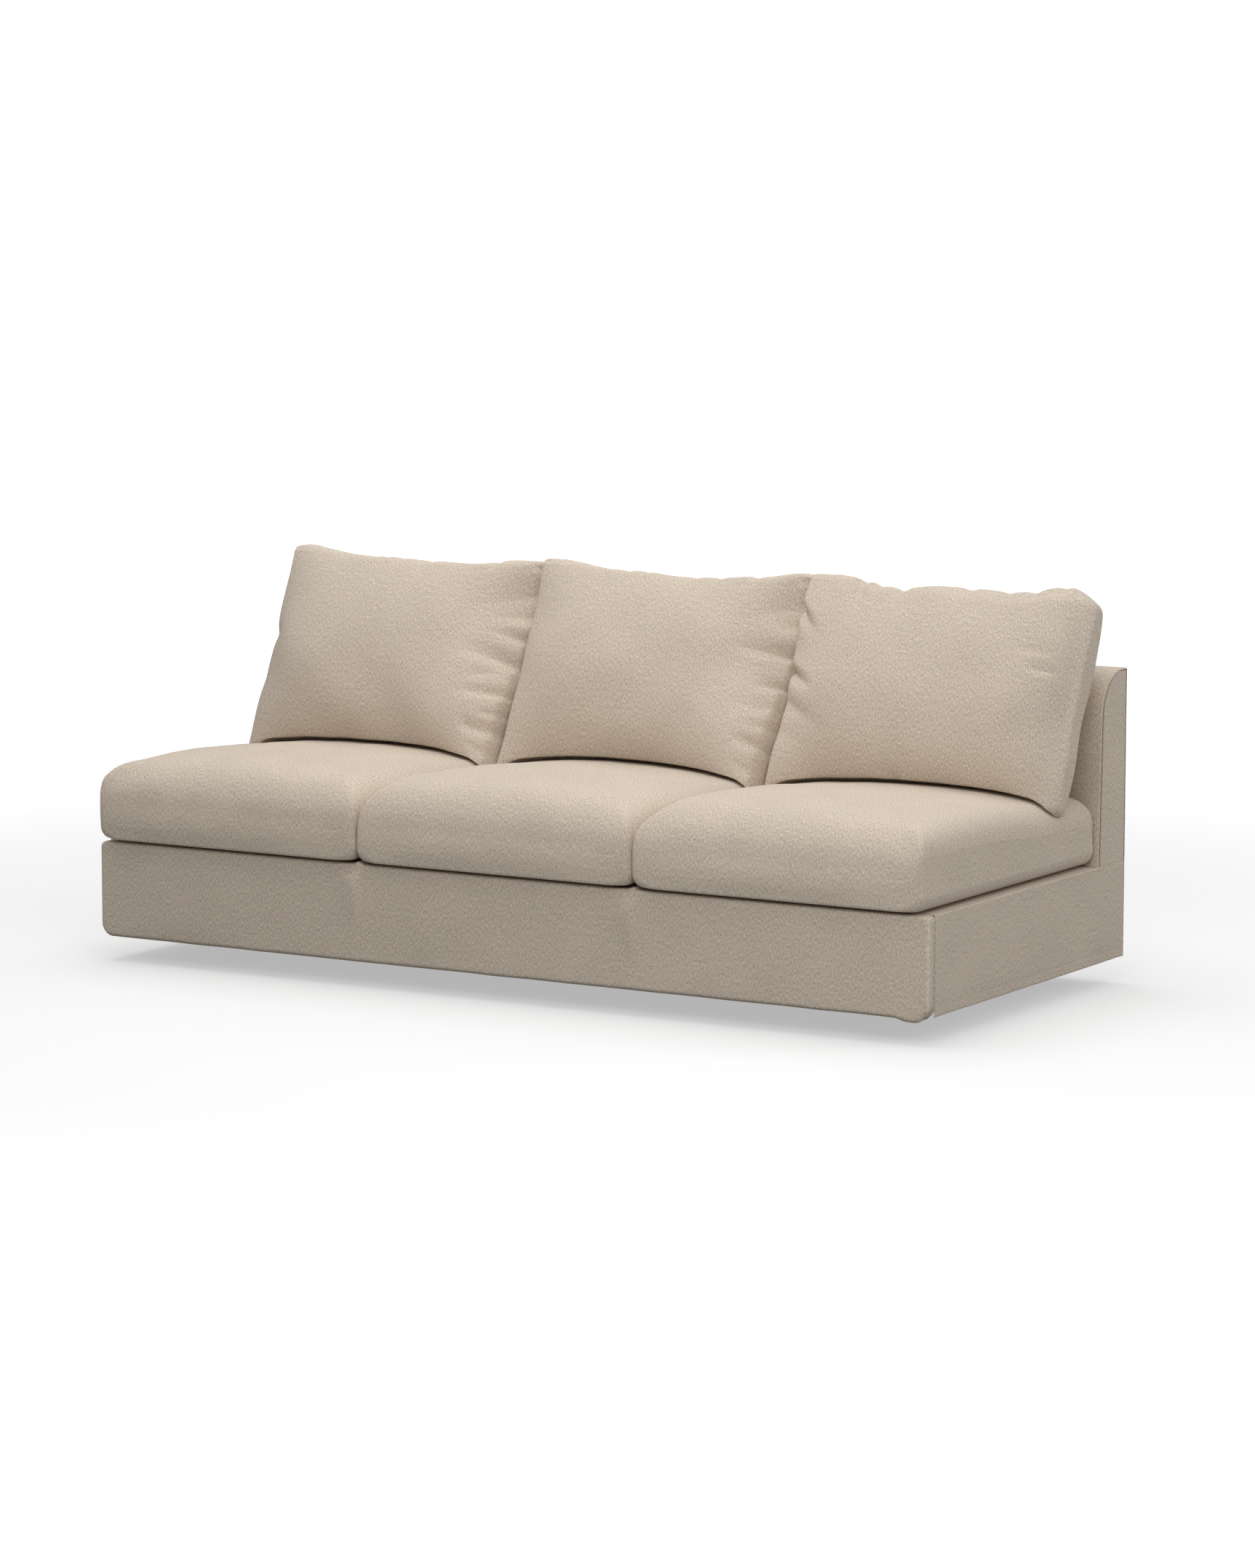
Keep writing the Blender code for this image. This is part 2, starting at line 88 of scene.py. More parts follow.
@dataclass(frozen=True)
class CoverSizes:
    """Driving sizes of the frame cover and its cushions."""

    width: float = 2.110
    cloth: float = 0.002
    seam_gap: float = 0.0003
    hem_height: float = 0.060
    hem_depth: float = 0.025
    stitch_inset: float = 0.003
    deck_top: float = 0.275
    back_top: float = 0.704
    back_face: float = 0.936
    apron_face: float = -0.007
    apron_return: float = 0.030
    backrest_foot: float = 0.800
    backrest_front: float = 0.810
    backrest_round: float = 0.100
    seats: int = 3

    @property
    def half(self) -> float:
        """Half the cover's width."""
        return self.width / 2

    @property
    def pitch(self) -> float:
        """Distance from one cushion's middle to the next."""
        return self.width / self.seats

    @property
    def origin(self) -> tuple[float, float, float]:
        """The frame's origin in room places: the middle of the seat deck's underside."""
        return 0.0, (self.apron_return + self.backrest_foot) / 2, self.deck_top - self.cloth

    @property
    def stitch_height(self) -> float:
        """Height of the stitches that hold the doubled hems."""
        return self.hem_height + self.hem_depth - self.stitch_inset

    def lean_limit(self, z: Array, clear: float) -> Array:
        """How far back a cushion may reach in front of the backrest.

        Args:
            z: Heights above the floor.
            clear: Room kept between the cushion and the backrest.

        Returns:
            The largest y at each height, or a far value above the backrest's head.
        """
        arc_y, arc_z = self.backrest_front + self.backrest_round, self.back_top - self.backrest_round
        radius = self.backrest_round + clear
        slope = (self.backrest_front - self.backrest_foot) / (arc_z - self.deck_top)
        flat = self.backrest_front - (arc_z - z) * slope - clear
        curved = arc_y - np.sqrt(radius ** 2 - np.clip(z - arc_z, 0, radius) ** 2)
        return np.where(z > arc_z + radius, FAR_BACK, np.where(z < arc_z, flat, curved))


SIZES = CoverSizes()


# ---------------------------------------------------------------- form tools

def smooth_step(low: float, high: float, value: Array) -> Array:
    """Rise smoothly from 0 at low to 1 at high."""
    share = np.clip((value - low) / (high - low), 0, 1)
    return share * share * (3 - 2 * share)


def read_rows(places: Array, rows: Rows, column: int = 1) -> Array:
    """Read one column of a table along a smooth line through its rows.

    Args:
        places: Where to read, in the units of the rows' first column.
        rows: Table rows in rising order of their first column.
        column: Which column to read.

    Returns:
        The column's value at each place.
    """
    knots = np.array([row[0] for row in rows])
    values = np.array([row[column] for row in rows])
    slopes = np.gradient(values, knots)
    index = np.clip(np.searchsorted(knots, places) - 1, 0, len(knots) - 2)
    span = knots[index + 1] - knots[index]
    t = np.clip((places - knots[index]) / span, 0, 1)
    rise = t * t * (3 - 2 * t)
    lead = t * (1 - t) ** 2 * slopes[index] - t * t * (1 - t) * slopes[index + 1]
    return values[index] * (1 - rise) + values[index + 1] * rise + span * lead


def spaced_lines(low: float, high: float, step: float, edge_steps: list[float],
                 fine: list[tuple[float, float, float]] | None = None) -> Array:
    """Grid lines from low to high that crowd towards both ends.

    Args:
        low: First line.
        high: Last line.
        step: Widest spacing between lines.
        edge_steps: Distances of the first few lines from each end, in rising order.
        fine: Spots with closer lines, as (middle, reach, spacing).

    Returns:
        The lines in rising order.
    """
    margin = edge_steps[-1]
    count = max(2, round((high - low - 2 * margin) / step) + 1)
    lines = [low, high] + [low + s for s in edge_steps[:-1]] + [high - s for s in edge_steps[:-1]]
    lines += list(np.linspace(low + margin, high - margin, count))
    for middle, reach, spacing in fine or []:
        lines = [line for line in lines if abs(line - middle) > reach + spacing / 2]
        lines += list(np.linspace(middle - reach, middle + reach, round(2 * reach / spacing) + 1))
    return np.array(sorted(lines))


def round_corners(x: Array, y: Array, half_x: float, half_y: float,
                  radius: Array | float) -> tuple[Array, Array, Array]:
    """Turn a grid's square corners into quarter circles.

    Args:
        x: Places across, from the middle.
        y: Places along, from the middle.
        half_x: Half the outline's width.
        half_y: Half the outline's length.
        radius: Corner radius, which may differ from point to point.

    Returns:
        The new x and y, and each point's depth in from the outline.
    """
    over_x = np.clip((np.abs(x) - half_x + radius) / radius, 0, 1)
    over_y = np.clip((np.abs(y) - half_y + radius) / radius, 0, 1)
    round_x = over_x * np.sqrt(1 - over_y ** 2 / 2)
    round_y = over_y * np.sqrt(1 - over_x ** 2 / 2)
    new_x = np.where(over_x > 0, np.sign(x) * (half_x - radius + radius * round_x), x)
    new_y = np.where(over_y > 0, np.sign(y) * (half_y - radius + radius * round_y), y)
    in_x = np.abs(new_x) - half_x + radius
    in_y = np.abs(new_y) - half_y + radius
    outside = np.hypot(np.maximum(in_x, 0), np.maximum(in_y, 0))
    inside = np.minimum(np.maximum(in_x, in_y), 0)
    return new_x, new_y, np.maximum(radius - outside - inside, 0)


def quarter_drop(depth: Array, radius: Array | float) -> Array:
    """How far a rounded edge falls away at a depth in from its outline."""
    reach = np.clip(depth / radius, 0, 1)
    return radius * (1 - np.sqrt(1 - (1 - reach) ** 2))


@dataclass(frozen=True)
class SoftNoise:
    """Repeatable soft unevenness: waves whose lengths and directions are drawn from one seed."""

    seed: int
    wavelength: float
    waves: int = 14
    spread: Ends = (0.7, 1.7)

    def at(self, x: Array, y: Array) -> Array:
        """Read the noise.

        Args:
            x: Places across, in metres.
            y: Places along, in metres.

        Returns:
            Values about 0, most of them between -2 and 2.
        """
        draw = np.random.default_rng(self.seed)
        total = np.zeros(np.broadcast(x, y).shape)
        for _ in range(self.waves):
            turn, phase = draw.uniform(0, 2 * math.pi, 2)
            length = self.wavelength * draw.uniform(*self.spread)
            along = x * math.cos(turn) + y * math.sin(turn)
            total += np.sin(2 * math.pi * along / length + phase)
        return total / math.sqrt(self.waves / 2)


@dataclass(frozen=True)
class Fold:
    """A soft trough in a cushion's panel, or a ridge where its depth is negative.

    Ends are shares of the panel's half width and of its height. Width, depth and bow are metres.
    """

    start: tuple[float, float]
    end: tuple[float, float]
    width: float
    depth: float
    bow: float = 0.0
    steep: float = 0.0
    free: bool = False
    halo: float = -0.16

    # How much of the trough is soft, how sharp its crease is and how its width grows to the far end
    SOFT_SHARE: ClassVar[float] = 0.65
    SHARPNESS: ClassVar[float] = 1.6
    WIDENING: ClassVar[float] = 0.5
    HALO_WIDTH: ClassVar[float] = 2.4
    # Shares of the length between which the trough and its halo fade out, and a free end fades in
    TROUGH_FADE: ClassVar[Ends] = (0.0, 1.1)
    HALO_FADE: ClassVar[Ends] = (0.1, 1.5)
    FREE_FADE: ClassVar[Ends] = (-0.4, 0.4)

    def relief(self, a: Array, v: Array, half: float, height: float) -> Array:
        """Depth of the fold at points of its panel.

        Args:
            a: Shares of the half width.
            v: Shares of the height.
            half: The panel's half width.
            height: The panel's height.

        Returns:
            How far each point sinks in, negative where it rises.
        """
        run_x, run_z = (self.end[0] - self.start[0]) * half, (self.end[1] - self.start[1]) * height
        length = math.hypot(run_x, run_z)
        off_x, off_z = (a - self.start[0]) * half, (v - self.start[1]) * height
        along = (off_x * run_x + off_z * run_z) / length ** 2
        upward = 1.0 if run_x < 0 or (run_x == 0 and run_z < 0) else -1.0
        across = upward * (off_x * run_z - off_z * run_x) / length
        reach = np.clip(along, 0, 2)
        across = across - self.bow * 4 * reach * (1 - reach / 2) * (reach < 2)
        width = self.width * (1 + self.WIDENING * reach)
        off = np.abs(across) / (width * np.where(across > 0, 1 - self.steep, 1 + self.steep))
        soft = self.SOFT_SHARE * np.exp(-off ** 2)
        sharp = (1 - self.SOFT_SHARE) * np.exp(-self.SHARPNESS * off)
        crease = (soft + sharp) * (1 - smooth_step(*self.TROUGH_FADE, along))
        slack = self.halo * np.exp(-(across / (self.HALO_WIDTH * width)) ** 2)
        total = crease + slack * (1 - smooth_step(*self.HALO_FADE, along))
        if self.free:
            total = total * smooth_step(*self.FREE_FADE, along)
        return self.depth * total


@dataclass
class ClothForm:
    """A piece of cloth or a cushion in the making: its points, its faces and its facts by point."""

    points: Array
    quads: Array
    cut: Array
    facts: dict[str, Array] = field(default_factory=dict)

    def make_object(self, name: str) -> bpy.types.Object:
        """Turn the form into a Blender object.

        Args:
            name: The new object's name.

        Returns:
            The object, with its cut-cloth map and its facts as attributes.
        """
        mesh = bpy.data.meshes.new(name)
        mesh.from_pydata(self.points.tolist(), [], self.quads.tolist())
        layer = mesh.uv_layers.new(name="cut")
        layer.uv.foreach_set("vector", self.cut.astype(np.float32).ravel())
        for fact, values in self.facts.items():
            store = mesh.attributes.new(fact, "FLOAT", "POINT")
            store.data.foreach_set("value", values.astype(np.float32))
        mesh.shade_smooth()
        piece = bpy.data.objects.new(name, mesh)
        bpy.context.scene.collection.objects.link(piece)
        return piece


def read_points(mesh: bpy.types.Mesh) -> Array:
    """All points of a mesh.

    Args:
        mesh: The mesh.

    Returns:
        One row of x, y and z for each point.
    """
    flat = np.zeros(len(mesh.vertices) * 3, np.float32)
    mesh.vertices.foreach_get("co", flat)
    return flat.reshape(-1, 3).astype(float)


def write_points(mesh: bpy.types.Mesh, points: Array) -> None:
    """Move all points of a mesh."""
    mesh.vertices.foreach_set("co", points.astype(np.float32).ravel())
    mesh.update()


def read_normals(mesh: bpy.types.Mesh) -> Array:
    """The outward direction at each point of a mesh.

    Args:
        mesh: The mesh.

    Returns:
        One row of x, y and z for each point.
    """
    flat = np.zeros(len(mesh.vertices) * 3, np.float32)
    mesh.vertices.foreach_get("normal", flat)
    return flat.reshape(-1, 3).astype(float)


def read_fact(mesh: bpy.types.Mesh, name: str) -> Array:
    """One of a mesh's facts by point.

    Args:
        mesh: The mesh.
        name: The fact's name.

    Returns:
        One value for each point.
    """
    values = np.zeros(len(mesh.vertices), np.float32)
    mesh.attributes[name].data.foreach_get("value", values)
    return values.astype(float)


def drop_facts(mesh: bpy.types.Mesh) -> None:
    """Forget a finished mesh's facts, which only its making needs."""
    for name in [a.name for a in mesh.attributes if a.name.startswith("of_")]:
        mesh.attributes.remove(mesh.attributes[name])


def box_lattice(xs: Array, ys: Array, zs: Array) -> tuple[Array, Array, list[Array]]:
    """The skin of a box of grid lines.

    Args:
        xs: Lines across.
        ys: Lines along.
        zs: Lines up.

    Returns:
        Points, quads that face out, and the six grids of point numbers: top, bottom, right, left, front
        and back.
    """
    shape = (len(xs), len(ys), len(zs))
    outer = np.zeros(shape, bool)
    outer[[0, -1], :, :] = True
    outer[:, [0, -1], :] = True
    outer[:, :, [0, -1]] = True
    number = np.full(shape, -1)
    number[outer] = np.arange(outer.sum())
    points = np.stack(np.meshgrid(xs, ys, zs, indexing="ij"), -1)[outer]
    grids = [number[:, :, -1], number[:, ::-1, 0], number[-1], number[0][::-1], number[:, 0]]
    grids.append(number[::-1, -1])
    return points, np.concatenate([grid_quads(grid) for grid in grids]), grids


def grid_quads(grid: Array) -> Array:
    """Quads between the neighbours of a grid of point numbers."""
    ring = [grid[:-1, :-1], grid[1:, :-1], grid[1:, 1:], grid[:-1, 1:]]
    return np.stack(ring, -1).reshape(-1, 4)


def grid_cut(points: Array, grid: Array) -> Array:
    """Cut-cloth places of one grid, measured along its lines from its middle.

    Args:
        points: All points of the form.
        grid: The grid's point numbers.

    Returns:
        Two coordinates in metres for each corner of each quad, across and along the grain.
    """
    place = points[grid]
    across = np.linalg.norm(np.diff(place, axis=0), axis=-1)
    along = np.linalg.norm(np.diff(place, axis=1), axis=-1)
    u = np.concatenate([np.zeros((1, grid.shape[1])), np.cumsum(across, 0)])
    w = np.concatenate([np.zeros((grid.shape[0], 1)), np.cumsum(along, 1)], 1)
    u = u - u[grid.shape[0] // 2]
    w = w - w[:, grid.shape[1] // 2][:, None]
    pair = np.stack([u, w], -1)
    corners = [pair[:-1, :-1], pair[1:, :-1], pair[1:, 1:], pair[:-1, 1:]]
    return np.stack(corners, 2).reshape(-1, 4, 2)


def refine(piece: bpy.types.Object) -> None:
    """Subdivide a piece once and keep the result as its mesh.

    Args:
        piece: The piece, with its own rough mesh.
    """
    step = piece.modifiers.new("refine", "SUBSURF")
    step.levels = 1
    step.render_levels = 1
    step.uv_smooth = "PRESERVE_BOUNDARIES"
    ready = piece.evaluated_get(bpy.context.evaluated_depsgraph_get())
    rough, fine = piece.data, bpy.data.meshes.new_from_object(ready)
    piece.modifiers.clear()
    piece.data = fine
    bpy.data.meshes.remove(rough)
    fine.name = piece.name


# ---------------------------------------------------------------- finishes

@dataclass
class NodeBoard:
    """Adds shader nodes to one material and links them."""

    tree: bpy.types.NodeTree

    def add(self, kind: str, **settings: object) -> bpy.types.Node:
        """Add a node and set its own settings by name.

        Args:
            kind: Blender's name for the node.
            settings: Values of the node's own settings.

        Returns:
            The new node.
        """
        node = self.tree.nodes.new(kind)
        for name, value in settings.items():
            setattr(node, name, value)
        return node

    def feed(self, node: bpy.types.Node, **inputs: object) -> bpy.types.Node:
        """Set or link a node's inputs.

        Args:
            node: The node.
            inputs: Values or output sockets, by the input's name with _ for a space, or i and its number.

        Returns:
            The same node.
        """
        for name, value in inputs.items():
            is_number = name[0] == "i" and name[1:].isdigit()
            socket = node.inputs[int(name[1:])] if is_number else node.inputs[name.replace("_", " ")]
            if isinstance(value, bpy.types.NodeSocket):
                self.tree.links.new(value, socket)
            else:
                socket.default_value = value
        return node


@dataclass(frozen=True)
class WovenCloth:
    """The cover's matt plain weave in mixed beige yarns, with its grain along the cut."""

    name: str = "beige_plain_weave"
    ground: tuple[float, float, float] = (0.610, 0.522, 0.428)
    light_fleck: float = 1.38
    dark_fleck: float = 0.61
    # Tone of the painted shadow along a seam groove, as a share of the ground colour
    seam_shadow_tone: float = 0.25
    yarn: float = 0.0012
    fleck_width: float = 0.0021
    fleck_length: float = 0.0055
    slub_width: float = 0.0018
    slub_length: float = 0.0080
    noise_band: Ends = (0.28, 0.72)
    fleck_share: float = 0.55
    slub_share: float = 0.35
    cloud_share: float = 0.20
    slub_height: float = 0.15
    bump_depth: float = 0.0004
    roughness: Ends = (0.84, 0.98)

    def shade(self, share: float) -> tuple[float, float, float, float]:
        """The ground colour made lighter or darker."""
        return (*[channel * share for channel in self.ground], 1.0)

    def material(self) -> bpy.types.Material:
        """Make the finish, or find it if it is made already.

        Returns:
            The material.
        """
        made = bpy.data.materials.get(self.name)
        if made:
            return made
        made = bpy.data.materials.new(self.name)
        made.use_nodes = True
        board = NodeBoard(made.node_tree)
        shader = made.node_tree.nodes["Principled BSDF"]
        cut = board.add("ShaderNodeUVMap", uv_map="cut").outputs["UV"]
        fleck = self.streaks(board, cut, self.fleck_width, self.fleck_length, 1.5)
        slub = self.streaks(board, cut, self.slub_width, self.slub_length, 0.0)
        cloud = board.feed(board.add("ShaderNodeTexNoise"), Vector=cut, Scale=7.0, Detail=2.0)
        plain = self.colour(board, fleck, slub, cloud.outputs["Fac"])
        # Painted shadow along seam grooves, where a piece carries the fact
        colour = self.paint_seam_shadow(board, plain)
        weave = self.weave_height(board, cut)
        height = board.feed(board.add("ShaderNodeMath", operation="MULTIPLY_ADD"), i0=slub,
                            i1=self.slub_height, i2=weave)
        bump = board.feed(board.add("ShaderNodeBump"), Height=height.outputs[0], Strength=0.38,
                          Distance=self.bump_depth)
        rough = board.feed(board.add("ShaderNodeMapRange"), Value=fleck, To_Min=self.roughness[1],
                           To_Max=self.roughness[0])
        board.feed(shader, Base_Color=colour, Normal=bump.outputs["Normal"], Roughness=rough.outputs[0],
                   Metallic=0.0, Specular_IOR_Level=0.22, Sheen_Weight=0.10, Sheen_Roughness=0.55)
        made.diffuse_color = self.shade(1.0)
        return made

    def streaks(self, board: NodeBoard, cut: bpy.types.NodeSocket, width: float, length: float,
                detail: float) -> bpy.types.NodeSocket:
        """Noise drawn out along the grain.

        Args:
            board: Where the nodes go.
            cut: The cut-cloth coordinates.
            width: Usual width of a streak.
            length: Usual length of a streak.
            detail: The noise's detail.

        Returns:
            A value between 0 and 1.
        """
        scaled = board.feed(board.add("ShaderNodeVectorMath", operation="MULTIPLY"), i0=cut,
                            i1=(1 / width, 1 / length, 1.0))
        noise = board.feed(board.add("ShaderNodeTexNoise", noise_dimensions="2D"), Vector=scaled.outputs[0],
                           Scale=1.0, Detail=detail, Roughness=0.5)
        spread = board.feed(board.add("ShaderNodeMapRange"), Value=noise.outputs["Fac"],
                            From_Min=self.noise_band[0], From_Max=self.noise_band[1])
        return spread.outputs[0]

    def colour(self, board: NodeBoard, fleck: bpy.types.NodeSocket, slub: bpy.types.NodeSocket,
               cloud: bpy.types.NodeSocket) -> bpy.types.NodeSocket:
        """Mix the yarns' colours.

        Args:
            board: Where the nodes go.
            fleck: The flecks' strength.
            slub: The finer streaks' strength.
            cloud: The soft unevenness of the dye.

        Returns:
            The cloth's colour.
        """
        blend = board.feed(board.add("ShaderNodeMath", operation="MULTIPLY_ADD"), i0=slub,
                           i1=self.slub_share, i2=0.0)
        total = board.feed(board.add("ShaderNodeMath", operation="MULTIPLY_ADD"), i0=fleck,
                           i1=self.fleck_share, i2=blend.outputs[0])
        shifted = board.feed(board.add("ShaderNodeMath", operation="MULTIPLY_ADD"), i0=cloud,
                             i1=self.cloud_share, i2=total.outputs[0])
        mixed = board.add("ShaderNodeMix", data_type="RGBA")
        board.feed(mixed, i0=shifted.outputs[0], i6=self.shade(self.dark_fleck),
                   i7=self.shade(self.light_fleck))
        return mixed.outputs[2]

    def paint_seam_shadow(self, board: NodeBoard, plain: bpy.types.NodeSocket) -> bpy.types.NodeSocket:
        """Paint shadow into the cloth's colour where a piece's fact marks the shade of a seam groove.

        Args:
            board: Where the nodes go.
            plain: The cloth's colour away from its seams.

        Returns:
            The cloth's colour, with the painted seam shadow.
        """
        seam = board.add("ShaderNodeAttribute", attribute_name=SEAM_SHADOW_PAINT_FACT).outputs["Fac"]
        mixed = board.add("ShaderNodeMix", data_type="RGBA")
        board.feed(mixed, i0=seam, i6=plain, i7=self.shade(self.seam_shadow_tone))
        return mixed.outputs[2]

    def weave_height(self, board: NodeBoard, cut: bpy.types.NodeSocket) -> bpy.types.NodeSocket:
        """Height of the yarns as they pass over and under each other.

        Args:
            board: Where the nodes go.
            cut: The cut-cloth coordinates.

        Returns:
            A value between 0 and 1.
        """
        ridges = []
        for direction in ("X", "Y"):
            wave = board.add("ShaderNodeTexWave", wave_type="BANDS", bands_direction=direction)
            board.feed(wave, Vector=cut, Scale=math.pi / (10 * self.yarn))
            ridges.append(wave.outputs["Fac"])
        over = board.feed(board.add("ShaderNodeTexChecker"), Vector=cut, Scale=1 / self.yarn)
        mixed = board.add("ShaderNodeMix", data_type="FLOAT")
        board.feed(mixed, i0=over.outputs["Fac"], i2=ridges[0], i3=ridges[1])
        return mixed.outputs[0]


@dataclass(frozen=True)
class SewingThread:
    """Matt thread a little lighter than the cloth."""

    name: str = "beige_thread"
    colour: tuple[float, float, float] = (0.66, 0.575, 0.48)
    shades: Ends = (0.85, 1.12)

    def material(self) -> bpy.types.Material:
        """Make the finish, or find it if it is made already.

        Returns:
            The material.
        """
        made = bpy.data.materials.get(self.name)
        if made:
            return made
        made = bpy.data.materials.new(self.name)
        made.use_nodes = True
        board = NodeBoard(made.node_tree)
        shader = made.node_tree.nodes["Principled BSDF"]
        place = board.add("ShaderNodeTexCoord").outputs["Object"]
        twist = board.feed(board.add("ShaderNodeTexNoise"), Vector=place, Scale=900.0, Detail=1.0)
        mixed = board.add("ShaderNodeMix", data_type="RGBA")
        dark, light = [(*[channel * shade for channel in self.colour], 1.0) for shade in self.shades]
        board.feed(mixed, i0=twist.outputs["Fac"], i6=dark, i7=light)
        board.feed(shader, Base_Color=mixed.outputs[2], Roughness=0.7, Specular_IOR_Level=0.3,
                   Sheen_Weight=0.1)
        return made


CLOTH = WovenCloth()
THREAD = SewingThread()


def dress_piece(piece: bpy.types.Object, nodes: list[str], finish: WovenCloth | SewingThread) -> None:
    """Give a piece its finish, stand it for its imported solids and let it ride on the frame.

    Args:
        piece: The finished piece.
        nodes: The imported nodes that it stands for.
        finish: What it is made of.
    """
    piece.data.materials.clear()
    piece.data.materials.append(finish.material())
    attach(piece, "root")
    if nodes:
        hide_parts(*nodes)
    LOG.info("%s: %d faces, finish %s", piece.name, len(piece.data.polygons), finish.name)


# ---------------------------------------------------------------- cushions

@dataclass
class Cushion:
    """A filled cushion: a closed form, inflated as cloth, refined, then creased and sewn."""

    side: Side
    pressure: float
    spare_cloth: float
    swell_cap: float
    frames: int = 20

    @property
    def middle(self) -> float:
        """Where the cushion's middle lies across the cover."""
        return self.side.order * SIZES.pitch

    def inflate(self, piece: bpy.types.Object, held: Array) -> None:
        """Swell a cushion by Blender's cloth simulation and keep the result, capped.

        Args:
            piece: The cushion in its plain form.
            held: True for each point that its seams hold.
        """
        start = read_points(piece.data)
        group = piece.vertex_groups.new(name="seams")
        group.add([int(i) for i in np.flatnonzero(held)], 1.0, "REPLACE")
        cloth = piece.modifiers.new("swell", "CLOTH")
        settings = cloth.settings
        settings.quality = 4
        settings.mass = 0.3
        settings.tension_stiffness = 18
        settings.compression_stiffness = 18
        settings.shear_stiffness = 6
        settings.bending_stiffness = 1.2
        settings.air_damping = 2.0
        settings.vertex_group_mass = group.name
        settings.use_pressure = True
        settings.uniform_pressure_force = self.pressure
        settings.shrink_min = -self.spare_cloth
        settings.effector_weights.gravity = 0
        cloth.collision_settings.use_collision = False
        cloth.point_cache.frame_start = 1
        cloth.point_cache.frame_end = self.frames
        for frame in range(1, self.frames + 1):
            bpy.context.scene.frame_set(frame)
        ready = piece.evaluated_get(bpy.context.evaluated_depsgraph_get())
        moved = read_points(ready.data) - start
        far = np.linalg.norm(moved, axis=1, keepdims=True)
        capped = moved * self.swell_cap * np.tanh(far / self.swell_cap) / np.maximum(far, 1e-9)
        piece.modifiers.clear()
        piece.vertex_groups.clear()
        bpy.context.scene.frame_set(1)
        write_points(piece.data, start + capped)
        LOG.info("%s: cloth swelled by up to %.1f mm", piece.name, 1000 * far.max())

    def settle(self, piece: bpy.types.Object) -> None:
        """Move a finished cushion from its own middle in the room to its place in the frame.

        Args:
            piece: The cushion.
        """
        points = read_points(piece.data)
        points[:, 0] += self.middle
        write_points(piece.data, points - np.array(SIZES.origin))
        drop_facts(piece.data)


